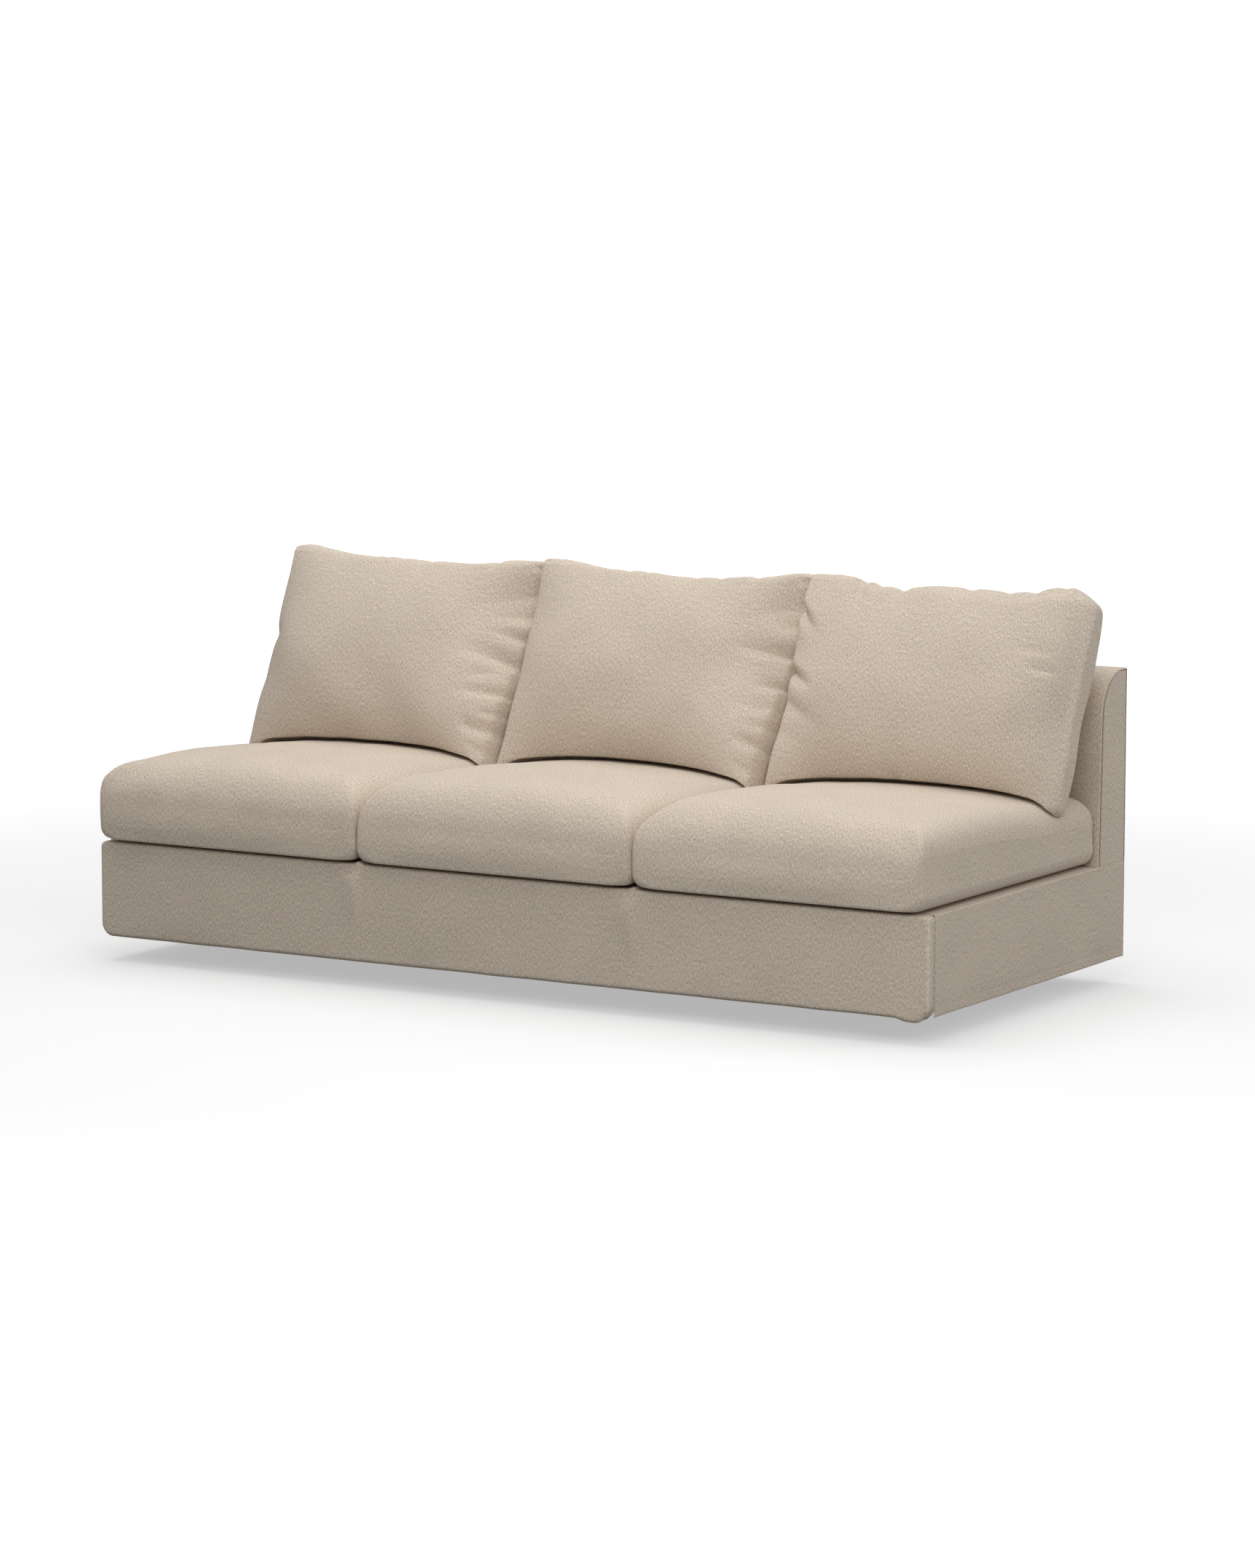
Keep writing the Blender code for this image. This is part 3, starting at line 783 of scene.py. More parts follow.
@dataclass
class SeatCushion(Cushion):
    """A seat cushion: flat on the deck, with a soft round front and a crowned top."""

    pressure: float = 3.0
    spare_cloth: float = -0.006
    swell_cap: float = 0.008
    front: float = -0.025
    corner: float = 0.018
    corner_blend: float = 2.5
    crown_power: float = 2.5
    side_round: float = 0.056
    shoulder_extra: float = 0.032
    shoulder_reach: Ends = (0.16, -0.01)
    front_round: float = 0.096
    foot_round: Ends = (0.005, 0.028)
    end_reach: float = 0.055
    foot_lift: float = 0.0072
    lift_reach: Ends = (0.03, 0.06)
    front_belly: float = 0.005
    belly_reach: float = 0.20
    held_foot: float = 0.02
    grid_step: float = 0.012
    middle_rows: int = 56
    slow_waves: Ends = (0.34, 0.0009)
    quick_waves: Ends = (0.11, 0.00035)
    seed: int = 40

    # Grid lines: distances in from the ends and from the front, and shares of the height
    SIDE_STEPS: ClassVar[list[float]] = [0.0, 0.003, 0.008, 0.014, 0.022, 0.032, 0.044]
    FRONT_STEPS: ClassVar[list[float]] = [0.0, 0.003, 0.008, 0.015, 0.024, 0.035, 0.048, 0.064, 0.084]
    HEIGHT_SHARES: ClassVar[list[float]] = [0.0, 0.04, 0.10, 0.18, 0.28, 0.40, 0.52, 0.64, 0.76, 0.88, 1.0]
    # y, height along its sides, rise at its middle line
    TOP_ROWS: ClassVar[Rows] = [
        (-0.02, 0.454, 0.006),
        (0.10, 0.453, 0.019),
        (0.25, 0.451, 0.026),
        (0.40, 0.443, 0.028),
        (0.55, 0.433, 0.026),
        (0.80, 0.428, 0.018),
    ]
    # How far an outer cushion's end is pressed in: left end, right end
    SQUEEZE: ClassVar[dict[Side, Ends]] = {
        Side.LEFT: (0.006, 0.0),
        Side.MIDDLE: (0.0, 0.0),
        Side.RIGHT: (0.0, 0.006),
    }
    # A small nip in the top near its right end
    NIP: ClassVar[Fold] = Fold((0.825, 0.078), (0.832, 0.104), 0.0016, 0.0016, free=True, halo=0.0)

    @property
    def half(self) -> float:
        """Half the cushion's width."""
        return SIZES.pitch / 2 - SIZES.seam_gap

    @property
    def back(self) -> float:
        """The cushion's back end."""
        return SIZES.backrest_foot - SIZES.seam_gap

    def crown(self, x: Array, y: Array, depth: Array, frontness: Array) -> Array:
        """Height of the upper surface.

        Args:
            x: Places across, from the cushion's own middle.
            y: Places along, in the room.
            depth: Each point's depth in from the outline.
            frontness: 1 where the nearest edge is the front, 0 where it is another.

        Returns:
            Heights above the floor.
        """
        edge = read_rows(y, self.TOP_ROWS, 1)
        rise = read_rows(y, self.TOP_ROWS, 2)
        across = 1 - np.clip(np.abs(x) / self.half, 0, 1) ** self.crown_power
        inner = self.side.order * x <= 0
        side = self.side_round + self.shoulder_extra * smooth_step(*self.shoulder_reach, y) * inner
        radius = side + (self.front_round - side) * frontness
        return edge + rise * across - quarter_drop(depth, radius)

    def frontness(self, x: Array, y: Array) -> Array:
        """Tell points near the front edge from points near another edge.

        Args:
            x: Places across, from the cushion's own middle.
            y: Places along, in the room.

        Returns:
            1 where the nearest edge is the front, 0 where it is a side or the back.
        """
        to_front = y - self.front
        to_side = self.half - np.abs(x)
        in_corner = (to_front < self.corner) & (to_side < self.corner)
        run = np.maximum(self.corner - to_side, 0)
        rise = np.maximum(self.corner - to_front, 0)
        share = rise ** 2 / np.maximum(run ** 2 + rise ** 2, 1e-9)
        plain = smooth_step(-0.5, 0.5, (to_side - to_front) / (self.corner_blend * self.corner))
        return np.where(in_corner, share, plain)

    def plain_form(self) -> ClothForm:
        """The cushion's form before it swells.

        Returns:
            The form, with x from the cushion's own middle.
        """
        mid_y, half_y = (self.front + self.back) / 2, (self.back - self.front) / 2
        xs = spaced_lines(-self.half, self.half, self.grid_step, self.SIDE_STEPS)
        ys = [-half_y + step for step in self.FRONT_STEPS]
        ys += list(np.linspace(-half_y + self.front_round, half_y - self.SIDE_STEPS[-1], self.middle_rows))
        ys += [half_y - step for step in reversed(self.SIDE_STEPS[:-1])]
        points, quads, grids = box_lattice(xs, np.array(ys), np.array(self.HEIGHT_SHARES))
        x, y, depth = round_corners(points[:, 0], points[:, 1], self.half, half_y, self.corner)
        y = y + mid_y
        share = points[:, 2]
        top = self.crown(x, y, depth, self.frontness(x, y))
        to_end = smooth_step(self.end_reach, 0.0, self.half - np.abs(x))
        foot = self.foot_round[0] + (self.foot_round[1] - self.foot_round[0]) * to_end
        lift = self.foot_lift * (1 - smooth_step(*self.lift_reach, depth))
        bottom = SIZES.deck_top + SIZES.seam_gap + quarter_drop(depth, foot) + lift
        z = bottom + (top - bottom) * share
        belly = (1 - (x / self.half) ** 4) * np.clip(1 - (y - self.front) / self.belly_reach, 0, 1)
        y = y - self.front_belly * belly * np.sin(math.pi * share)
        left_in, right_in = self.SQUEEZE[self.side]
        new_x = x + left_in * (0.5 - x / (2 * self.half)) - right_in * (0.5 + x / (2 * self.half))
        placed = np.column_stack([new_x, y, z])
        cut = np.concatenate([grid_cut(placed, grid) for grid in grids])
        facts = {"of_x": x, "of_y": y, "of_share": share, "of_depth": depth}
        return ClothForm(placed, quads, cut, facts)

    def crease(self, piece: bpy.types.Object) -> None:
        """Add the soft unevenness and the small nip in the cushion's top.

        Args:
            piece: The cushion, swelled and refined.
        """
        mesh = piece.data
        points, normals = read_points(mesh), read_normals(mesh)
        x, y = read_fact(mesh, "of_x"), read_fact(mesh, "of_y")
        share = read_fact(mesh, "of_share")
        on_top = smooth_step(0.5, 1.0, share)
        seed = self.seed + self.side.order
        lift = np.zeros(len(points))
        for offset, (wavelength, size) in ((0, self.slow_waves), (7, self.quick_waves)):
            noise = SoftNoise(seed + offset, wavelength)
            lift += size * noise.at(points[:, 0], points[:, 1] + points[:, 2])
        lift *= smooth_step(0.05, 0.4, share)
        length = self.back - self.front
        nip = self.NIP.relief(x / self.half, (y - self.front) / length, self.half, length)
        lift = lift - nip * on_top
        points = points + normals * lift[:, None]
        points[:, 2] = np.maximum(points[:, 2], SIZES.deck_top + SIZES.seam_gap)
        points[:, 0] = np.clip(points[:, 0], -self.half, self.half)
        write_points(mesh, points)

    def build(self) -> bpy.types.Object:
        """Returns:
            The finished piece.
        """
        name = "seat_cushion_" + self.side.value
        piece = self.plain_form().make_object(name + "_cover")
        mesh = piece.data
        on_foot = read_fact(mesh, "of_share") < self.held_foot
        self.inflate(piece, on_foot | (read_fact(mesh, "of_depth") < ON_SEAM))
        refine(piece)
        self.crease(piece)
        self.settle(piece)
        dress_piece(piece, [name], CLOTH)
        return piece


@dataclass(frozen=True)
class HeadNotch:
    """A pucker in a back cushion's head seam: its place as a share of half width, drop and width."""

    place: float
    drop: float
    width: float


@dataclass
class BackCushion(Cushion):
    """A back cushion: it stands on its seat cushion and leans on the backrest."""

    pressure: float = 4.0
    spare_cloth: float = 0.006
    swell_cap: float = 0.022
    height: float = 0.484
    edge: float = 0.090
    front_crown: float = 0.074
    back_crown: float = 0.062
    lean: float = math.radians(23.1)
    foot_y: float = 0.575
    foot_z: float = 0.445
    rest_gap: float = 0.0010
    foot_slot: float = 0.0085
    lean_gap: float = 0.0026
    head_deep_round: float = 0.026
    back_round: float = 0.030
    foot_round: float = 0.020
    set_back: float = 0.042
    set_back_rise: Ends = (0.22, 0.85)
    foot_droop: float = 0.030
    head_swell: float = 0.006
    waist_power: float = 0.8
    push_top: float = 0.56
    sag_top: float = 0.2
    droop_top: float = 0.3
    low_part: float = 0.52
    grid_step: float = 0.0095
    seam_width: float = 0.0030
    seam_rise: float = 0.0005
    gather_width: float = 0.014
    gather_depth: float = 0.0007
    pucker_length: float = 0.030
    slow_waves: Ends = (0.17, 0.0014)
    seed: int = 11

    # Grid lines: distances in from every edge, and shares of the boxed edge from front to back
    EDGE_STEPS: ClassVar[list[float]] = [0.0, 0.003, 0.007, 0.012, 0.018, 0.026]
    RIM_SHARES: ClassVar[list[float]] = [
        0.0, 0.05, 0.12, 0.20, 0.29, 0.39, 0.5, 0.61, 0.71, 0.80, 0.88, 0.95, 1.0]
    # Crown of the two panels from foot to head: height share, front share, back share
    CROWN_ROWS: ClassVar[Rows] = [
        (0.00, -0.50, 0.00),
        (0.03, -0.10, 0.22),
        (0.07, 0.22, 0.42),
        (0.12, 0.48, 0.58),
        (0.18, 0.70, 0.74),
        (0.25, 0.85, 0.87),
        (0.33, 0.95, 0.96),
        (0.43, 1.00, 1.00),
        (0.56, 0.93, 0.98),
        (0.72, 0.72, 0.80),
        (0.86, 0.43, 0.52),
        (0.95, 0.17, 0.22),
        (1.00, 0.00, 0.00),
    ]
    # Head seam, left to right: share of the half width, rise
    HEAD_ROWS: ClassVar[dict[Side, Rows]] = {
        Side.LEFT: [(-1.00, 0.002), (-0.90, 0.009), (-0.72, 0.000), (-0.40, -0.009), (0.05, -0.014),
                    (0.54, -0.012), (0.71, 0.000), (0.83, 0.006), (0.93, 0.012), (1.00, 0.012)],
        Side.MIDDLE: [(-1.00, 0.001), (-0.88, 0.005), (-0.60, -0.006), (-0.30, -0.013), (0.10, -0.019),
                      (0.50, -0.010), (0.67, -0.004), (0.84, 0.012), (0.92, 0.016), (1.00, 0.014)],
        Side.RIGHT: [(-1.00, 0.001), (-0.82, 0.008), (-0.58, -0.009), (-0.38, -0.017), (-0.15, -0.010),
                     (0.20, -0.011), (0.55, -0.007), (0.82, 0.009), (1.00, 0.002)],
    }
    # Left end, right end: how far it rounds off, how deep that goes, how far it is drawn in and swells
    SIDE_ROUND: ClassVar[dict[Side, Ends]] = {
        Side.LEFT: (0.012, 0.014),
        Side.MIDDLE: (0.010, 0.014),
        Side.RIGHT: (0.010, 0.058),
    }
    DEEP_ROUND: ClassVar[dict[Side, Ends]] = {
        Side.LEFT: (0.016, 0.030),
        Side.MIDDLE: (0.012, 0.030),
        Side.RIGHT: (0.012, 0.044),
    }
    DRAWN_IN: ClassVar[dict[Side, Ends]] = {
        Side.LEFT: (0.004, 0.001),
        Side.MIDDLE: (0.001, 0.001),
        Side.RIGHT: (0.001, -0.007),
    }
    SIDE_SWELL: ClassVar[dict[Side, Ends]] = {
        Side.LEFT: (0.006, 0.003),
        Side.MIDDLE: (0.003, 0.003),
        Side.RIGHT: (0.003, 0.003),
    }
    # How the crown dies away towards a straight end and towards the right one's round end
    PLAIN_END: ClassVar[Ends] = (3.2, 1.2)
    ROUND_END: ClassVar[Ends] = (5.0, 1.4)
    LEFT_END: ClassVar[Ends] = (4.0, 0.70)
    # How far the front of the left end stands forward: height share, distance
    LEFT_PUSH: ClassVar[dict[Side, Rows]] = {
        Side.LEFT: [(0.0, 0.004), (0.2, 0.0), (1.0, 0.0)],
        Side.MIDDLE: [(0.0, 0.021), (0.12, 0.015), (0.30, 0.004), (0.80, 0.0), (1.0, 0.002)],
        Side.RIGHT: [(0.0, 0.023), (0.12, 0.017), (0.30, 0.006), (0.55, 0.003), (0.80, 0.016), (1.0, 0.012)],
    }
    # How far the foot of the front panel stands forward and sags: share of the half width, distance, sag
    FOOT_PUSH: ClassVar[Rows] = [
        (0.00, 0.000, 0.000),
        (0.20, 0.006, 0.003),
        (0.40, 0.018, 0.009),
        (0.60, 0.036, 0.018),
        (0.78, 0.054, 0.026),
        (0.87, 0.058, 0.028),
        (0.94, 0.054, 0.026),
        (0.98, 0.044, 0.020),
        (1.00, 0.030, 0.014),
    ]
    PUSH_SHARE: ClassVar[dict[Side, float]] = {Side.LEFT: 1.0, Side.MIDDLE: 1.18, Side.RIGHT: 0.0}
    # Radii of the head at its two corners
    HEAD_ROUND: ClassVar[dict[Side, Ends]] = {
        Side.LEFT: (0.016, 0.014),
        Side.MIDDLE: (0.014, 0.014),
        Side.RIGHT: (0.016, 0.040),
    }
    NOTCHES: ClassVar[dict[Side, list[HeadNotch]]] = {
        Side.LEFT: [HeadNotch(-0.34, 0.0016, 0.010), HeadNotch(-0.26, 0.0016, 0.009),
                    HeadNotch(-0.13, 0.0018, 0.010), HeadNotch(0.10, 0.0026, 0.012),
                    HeadNotch(0.63, 0.0030, 0.012)],
        Side.MIDDLE: [HeadNotch(-0.37, 0.0022, 0.011), HeadNotch(-0.23, 0.0020, 0.010),
                      HeadNotch(0.14, 0.0024, 0.011), HeadNotch(0.33, 0.0028, 0.012),
                      HeadNotch(0.59, 0.0030, 0.012)],
        Side.RIGHT: [HeadNotch(-0.64, 0.0022, 0.012), HeadNotch(-0.51, 0.0040, 0.012),
                     HeadNotch(-0.35, 0.0060, 0.014), HeadNotch(0.12, 0.0046, 0.014),
                     HeadNotch(0.39, 0.0034, 0.013), HeadNotch(0.58, 0.0040, 0.014),
                     HeadNotch(0.78, 0.0026, 0.012)],
    }
    FOLDS: ClassVar[dict[Side, list[Fold]]] = {
        Side.LEFT: [
            Fold((1.00, 0.598), (0.72, 0.622), 0.013, 0.0224, 0.000, -0.30),
            Fold((1.00, 0.455), (0.60, 0.505), 0.016, 0.028, 0.002, -0.30),
            Fold((1.00, 0.298), (0.62, 0.302), 0.012, 0.0180, -0.002, -0.30),
            Fold((1.00, 0.128), (0.70, 0.138), 0.012, 0.021, 0.000, -0.30),
            Fold((0.97, 0.052), (0.82, 0.080), 0.006, 0.0110, 0.001, -0.20, True),
            Fold((1.00, 0.205), (0.84, 0.190), 0.007, 0.0120, 0.000, -0.20),
            Fold((0.84, 0.120), (0.74, 0.175), 0.007, 0.0070, 0.000, 0.00, True),
            Fold((1.00, 0.860), (0.55, 0.720), 0.045, 0.031, 0.0, 0.0, False, 0.15),
            Fold((1.00, 0.735), (0.70, 0.690), 0.018, 0.020, 0.0, -0.20),
            Fold((1.02, 0.955), (0.84, 0.968), 0.006, 0.013, 0.0, 0.0, False, 0.0),
            Fold((0.86, 0.395), (0.62, 0.360), 0.016, 0.0084, 0.0, -0.2, True),
            Fold((-1.04, 0.540), (-0.86, 0.530), 0.018, 0.0168, 0.0, 0.0, False, 0.2),
            Fold((-1.04, 0.310), (-0.92, 0.310), 0.018, 0.007, 0.0, 0.0, False, 0.2),
        ],
        Side.MIDDLE: [
            Fold((1.00, 0.608), (0.60, 0.594), 0.017, 0.030, 0.002, -0.35),
            Fold((1.00, 0.440), (0.80, 0.430), 0.012, 0.0252, 0.001, -0.25),
            Fold((1.00, 0.320), (0.70, 0.315), 0.016, 0.0098, 0.0, -0.30, True),
            Fold((1.00, 0.140), (0.78, 0.142), 0.009, 0.0266, 0.004, -0.30),
            Fold((0.96, 0.058), (0.82, 0.082), 0.006, 0.0110, 0.001, -0.20, True),
            Fold((1.00, 0.225), (0.82, 0.235), 0.008, 0.0110, 0.000, -0.20),
            Fold((1.00, 0.880), (0.58, 0.740), 0.044, 0.030, 0.0, 0.0, False, 0.15),
            Fold((1.02, 0.955), (0.84, 0.968), 0.006, 0.013, 0.0, 0.0, False, 0.0),
            Fold((1.00, 0.760), (0.78, 0.740), 0.016, 0.0168, 0.0, -0.20),
            Fold((0.36, 0.270), (0.50, 0.100), 0.022, 0.0042, 0.0, 0.0, True, 0.2),
        ],
        Side.RIGHT: [
            Fold((-1.01, 0.845), (-0.79, 0.680), 0.010, 0.0308, -0.002, 0.30),
            Fold((-1.01, 0.545), (-0.72, 0.420), 0.011, 0.035, -0.002, 0.30),
            Fold((-0.97, 0.375), (-0.58, 0.245), 0.018, 0.014, -0.004, 0.20, True),
            Fold((-0.96, 0.230), (-0.70, 0.150), 0.020, 0.0056, 0.0, 0.0, True),
            Fold((0.66, 0.670), (0.94, 0.660), 0.013, 0.0056, 0.0, -0.20, True),
            Fold((0.74, 0.585), (0.98, 0.580), 0.014, 0.0084, 0.0, -0.20, True),
            Fold((-0.64, 1.010), (-0.56, 0.760), 0.013, 0.0180),
            Fold((-0.10, -0.01), (-0.12, 0.110), 0.013, 0.0168),
            Fold((0.30, 0.880), (0.02, 0.720), 0.020, 0.0028, 0.0, 0.0, True),
            Fold((-0.08, 0.920), (-0.22, 0.760), 0.016, 0.0028, 0.0, 0.0, True),
        ],
    }

    @property
    def half(self) -> float:
        """Half the cushion's width between its seams."""
        return SIZES.pitch / 2 - 0.003

    @property
    def most_half(self) -> float:
        """The furthest that the cushion may reach from its middle towards a neighbour."""
        return SIZES.pitch / 2 - SIZES.seam_gap

    def stand(self, x: Array, through: Array, up: Array) -> Array:
        """Lean the cushion's own places back and stand them on its foot.

        Args:
            x: Places across from its middle.
            through: Places from its front seam to its back seam.
            up: Places up its own height, from the middle.

        Returns:
            Points in the room, with x from the cushion's own middle.
        """
        rise = up + self.height / 2
        y = self.foot_y + through * math.cos(self.lean) + rise * math.sin(self.lean)
        z = self.foot_z - through * math.sin(self.lean) + rise * math.cos(self.lean)
        return np.column_stack([x, y, z])

    def plain_form(self) -> ClothForm:
        """The cushion's form before it swells and creases.

        Returns:
            The form, with x from the cushion's own middle.
        """
        xs = spaced_lines(-self.half, self.half, self.grid_step, self.EDGE_STEPS)
        zs = spaced_lines(-self.height / 2, self.height / 2, self.grid_step, self.EDGE_STEPS)
        points, quads, grids = box_lattice(xs, np.array(self.RIM_SHARES), zs)
        a, t, v = points[:, 0] / self.half, points[:, 1], points[:, 2] / self.height + 0.5
        x, through, up = self.soften(a, t, v)
        x = self.drawn_in(x, a, t, v)
        pushed = self.PUSH_SHARE[self.side] * (1 - t)
        forward, sag = (pushed * read_rows(np.maximum(a, 0), self.FOOT_PUSH, column) for column in (1, 2))
        up = self.sagged(up, a, t, v, sag)
        front, back = self.crowns(a, v)
        shift = self.bend(a, v, forward)
        placed = self.stand(x, through + front + (back - front) * t + shift * (1 - t), up)
        cut = np.concatenate([grid_cut(placed, grid) for grid in grids])
        depth = np.minimum(self.half * (1 - np.abs(a)), self.height * np.minimum(v, 1 - v))
        facts = {"of_a": a, "of_v": v, "of_t": t, "of_depth": depth}
        return ClothForm(placed, quads, cut, facts)

    def drawn_in(self, x: Array, a: Array, t: Array, v: Array) -> Array:
        """Draw the ends in between the corners and let the boxed edge swell there.

        Args:
            x: Places across.
            a: Shares of the half width.
            t: Shares of the edge from its front seam to its back seam.
            v: Shares of the height.

        Returns:
            The new places across, which keep clear of a neighbour.
        """
        left_in, right_in = self.DRAWN_IN[self.side]
        left_out, right_out = self.SIDE_SWELL[self.side]
        waist = np.sin(math.pi * np.clip(v, 0, 1)) ** self.waist_power
        belly = np.sin(math.pi * t) * (np.abs(a) > 0.999)
        near = np.clip(np.abs(x) / self.half, 0, 1) ** 2
        x = x - np.sign(x) * waist * near * np.where(x < 0, left_in, right_in)
        x = x + np.sign(x) * np.minimum(2.2 * waist, 1) * belly * np.where(x < 0, left_out, right_out)
        return np.clip(x, -self.most_half, self.most_half)

    def sagged(self, up: Array, a: Array, t: Array, v: Array, sag: Array) -> Array:
        """Shape the head seam's line, and let the foot's corners droop and its front sag.

        Args:
            up: Places up the cushion's own height, from the middle.
            a: Shares of the half width.
            t: Shares of the edge from its front seam to its back seam.
            v: Shares of the height.
            sag: How far each point sags at the foot.

        Returns:
            The new places up.
        """
        up = up + read_rows(a, self.HEAD_ROWS[self.side]) * np.clip((v - 0.6) / 0.4, 0, 1) ** 2
        up = up + self.head_swell * np.sin(math.pi * t) * (v > 0.999) * (1 - a ** 2)
        low = np.clip(1 - v / self.droop_top, 0, 1) ** 2
        up = up - self.foot_droop * smooth_step(0.55, 1.05, np.abs(a)) * low
        return up - sag * np.clip(1 - v / self.sag_top, 0, 1) ** 2

    def crowns(self, a: Array, v: Array) -> tuple[Array, Array]:
        """How far the two panels bulge.

        Args:
            a: Shares of the half width.
            v: Shares of the height.

        Returns:
            The front panel's bulge, which is negative as it goes forward, and the back panel's.
        """
        power, slope = self.ROUND_END if self.side is Side.RIGHT else self.PLAIN_END
        left_power, left_slope = self.LEFT_END
        left, right = (1 - np.abs(a) ** left_power) ** left_slope, (1 - np.abs(a) ** power) ** slope
        across = np.where(a < 0, left, right)
        front = -self.front_crown * read_rows(v, self.CROWN_ROWS, 1) * across
        back = self.back_crown * np.maximum(read_rows(v, self.CROWN_ROWS, 2), 0) * across
        return front, back

    def bend(self, a: Array, v: Array, forward: Array) -> Array:
        """How far the front is set back at the upper right and stands forward at the feet.

        Args:
            a: Shares of the half width.
            v: Shares of the height.
            forward: How far the foot stands forward.

        Returns:
            The shift backwards, which is negative where the front stands forward.
        """
        shift = self.set_back * np.clip((a - 0.3) / 0.7, 0, 1) ** 2 * (self.side is not Side.RIGHT)
        shift = shift * smooth_step(*self.set_back_rise, v)
        shift = shift - forward * (1 - smooth_step(0.0, self.push_top, v))
        return shift - read_rows(v, self.LEFT_PUSH[self.side]) * smooth_step(-0.72, -1.0, a)

    def soften(self, a: Array, t: Array, v: Array) -> tuple[Array, Array, Array]:
        """Round a box's edges and corners.

        Args:
            a: Shares of the half width.
            t: Shares of the edge from its front seam to its back seam.
            v: Shares of the height.

        Returns:
            Places across, through and up, with the middle of the height at 0.
        """
        left, right = self.SIDE_ROUND[self.side]
        head_left, head_right = self.HEAD_ROUND[self.side]
        to_right = smooth_step(-0.6, 0.6, a)
        side_radius = np.where(a < 0, left, right)
        end_radius = np.where(v < 0.5, self.foot_round, head_left + (head_right - head_left) * to_right)
        side_deep = np.where(a < 0, *self.DEEP_ROUND[self.side])
        near_end = smooth_step(0.8, 0.97, np.abs(a))
        front_deep = self.head_deep_round + (side_deep - self.head_deep_round) * near_end
        deep_radius = np.where(t < 0.5, front_deep, self.back_round)
        halves = [self.half, self.height / 2, self.edge / 2]
        places = [a * self.half, (v - 0.5) * self.height, (t - 0.5) * self.edge]
        radii = [side_radius, end_radius, deep_radius]
        over = [np.clip(1 - (half - np.abs(place)) / radius, 0, 1)
                for half, place, radius in zip(halves, places, radii)]
        rounded = []
        for axis in range(3):
            one, two = over[axis - 1] ** 2, over[axis - 2] ** 2
            bent = over[axis] * np.sqrt(1 - one / 2 - two / 2 + one * two / 3)
            inner = halves[axis] - radii[axis]
            moved = np.sign(places[axis]) * (inner + radii[axis] * bent)
            rounded.append(np.where(over[axis] > 0, moved, places[axis]))
        return rounded[0], rounded[2] + self.edge / 2, rounded[1]

    def crease(self, piece: bpy.types.Object) -> None:
        """Add the folds, the puckered head seam, the seams' ridges and a little unevenness.

        Args:
            piece: The cushion, swelled and refined.
        """
        mesh = piece.data
        points, normals = read_points(mesh), read_normals(mesh)
        a, v = read_fact(mesh, "of_a"), read_fact(mesh, "of_v")
        t = read_fact(mesh, "of_t")
        inward = np.array([0.0, math.cos(self.lean), -math.sin(self.lean)])
        upward = np.array([0.0, math.sin(self.lean), math.cos(self.lean)])

        # Folds of the front panel reach a little way round into the boxed edge
        frontal = 1 - smooth_step(0.1, 0.8, t)
        relief = sum(fold.relief(a, v, self.half, self.height) for fold in self.FOLDS[self.side])
        points += inward * (relief * frontal)[:, None]

        # Puckers of the head seam, each with a short crease down the panels
        near_head = np.exp(-((1 - v) * self.height / self.pucker_length) ** 2)
        for notch in self.NOTCHES[self.side]:
            off = (a - notch.place) * self.half / notch.width
            dip = notch.drop * np.exp(-off ** 2) * near_head
            points -= upward * dip[:, None]
            points += inward * (0.9 * dip * np.where(t < 0.5, 1, -1))[:, None]

        # Seams stand up a little where the allowances lie under them
        seam_off = np.minimum(self.edge * np.minimum(t, 1 - t) + self.height * (1 - v), 0.1)
        seed = self.seed + self.side.order
        pucker = SoftNoise(seed + 20, 0.030).at(points[:, 0], points[:, 2])
        seam = np.exp(-(seam_off / self.seam_width) ** 2)
        gather = np.exp(-(seam_off / self.gather_width) ** 2) - seam
        wavelength, size = self.slow_waves
        slow = SoftNoise(seed, wavelength).at(points[:, 0], points[:, 2])
        lift = self.seam_rise * seam * (1 + 0.3 * pucker)
        lift = lift - self.gather_depth * gather * (1 + pucker) + size * slow
        points += normals * lift[:, None]
        write_points(mesh, points)

    def keep_clear(self, piece: bpy.types.Object, seat: BVHTree) -> None:
        """Rest the cushion on its seat cushion, against the backrest and beside its neighbours.

        Args:
            piece: The cushion, with x from its own middle.
            seat: The seat cushions' surfaces, in the frame's places.
        """
        points = read_points(piece.data)
        clear = self.rest_gap + self.foot_slot * (1 - smooth_step(0.2, 0.6, read_fact(piece.data, "of_t")))
        points[:, 0] = np.clip(points[:, 0], -self.most_half, self.most_half)
        points[:, 1] = np.minimum(points[:, 1], SIZES.lean_limit(points[:, 2], self.lean_gap))
        origin = Vector(SIZES.origin)
        for index in np.flatnonzero(points[:, 2] < self.low_part):
            x, y, z = points[index]
            hit = seat.ray_cast(Vector((x + self.middle, y, 1.0)) - origin, Vector((0, 0, -1)))[0]
            if hit is not None:
                points[index, 2] = max(z, hit.z + origin.z + clear[index])
        write_points(piece.data, points)

    def build(self, seat: BVHTree) -> bpy.types.Object:
        """Args:
            seat: The seat cushions' surfaces, in the frame's places.

        Returns:
            The finished piece.
        """
        name = "back_cushion_" + self.side.value
        piece = self.plain_form().make_object(name + "_cover")
        mesh = piece.data
        t, depth = read_fact(mesh, "of_t"), read_fact(mesh, "of_depth")
        middle_ring = (depth < ON_SEAM) & (np.abs(t - 0.5) < 0.12)
        self.inflate(piece, middle_ring | (read_fact(mesh, "of_v") < 0.001))
        refine(piece)
        self.crease(piece)
        self.keep_clear(piece, seat)
        self.settle(piece)
        dress_piece(piece, [name], CLOTH)
        return piece


# ---------------------------------------------------------------- frame cover

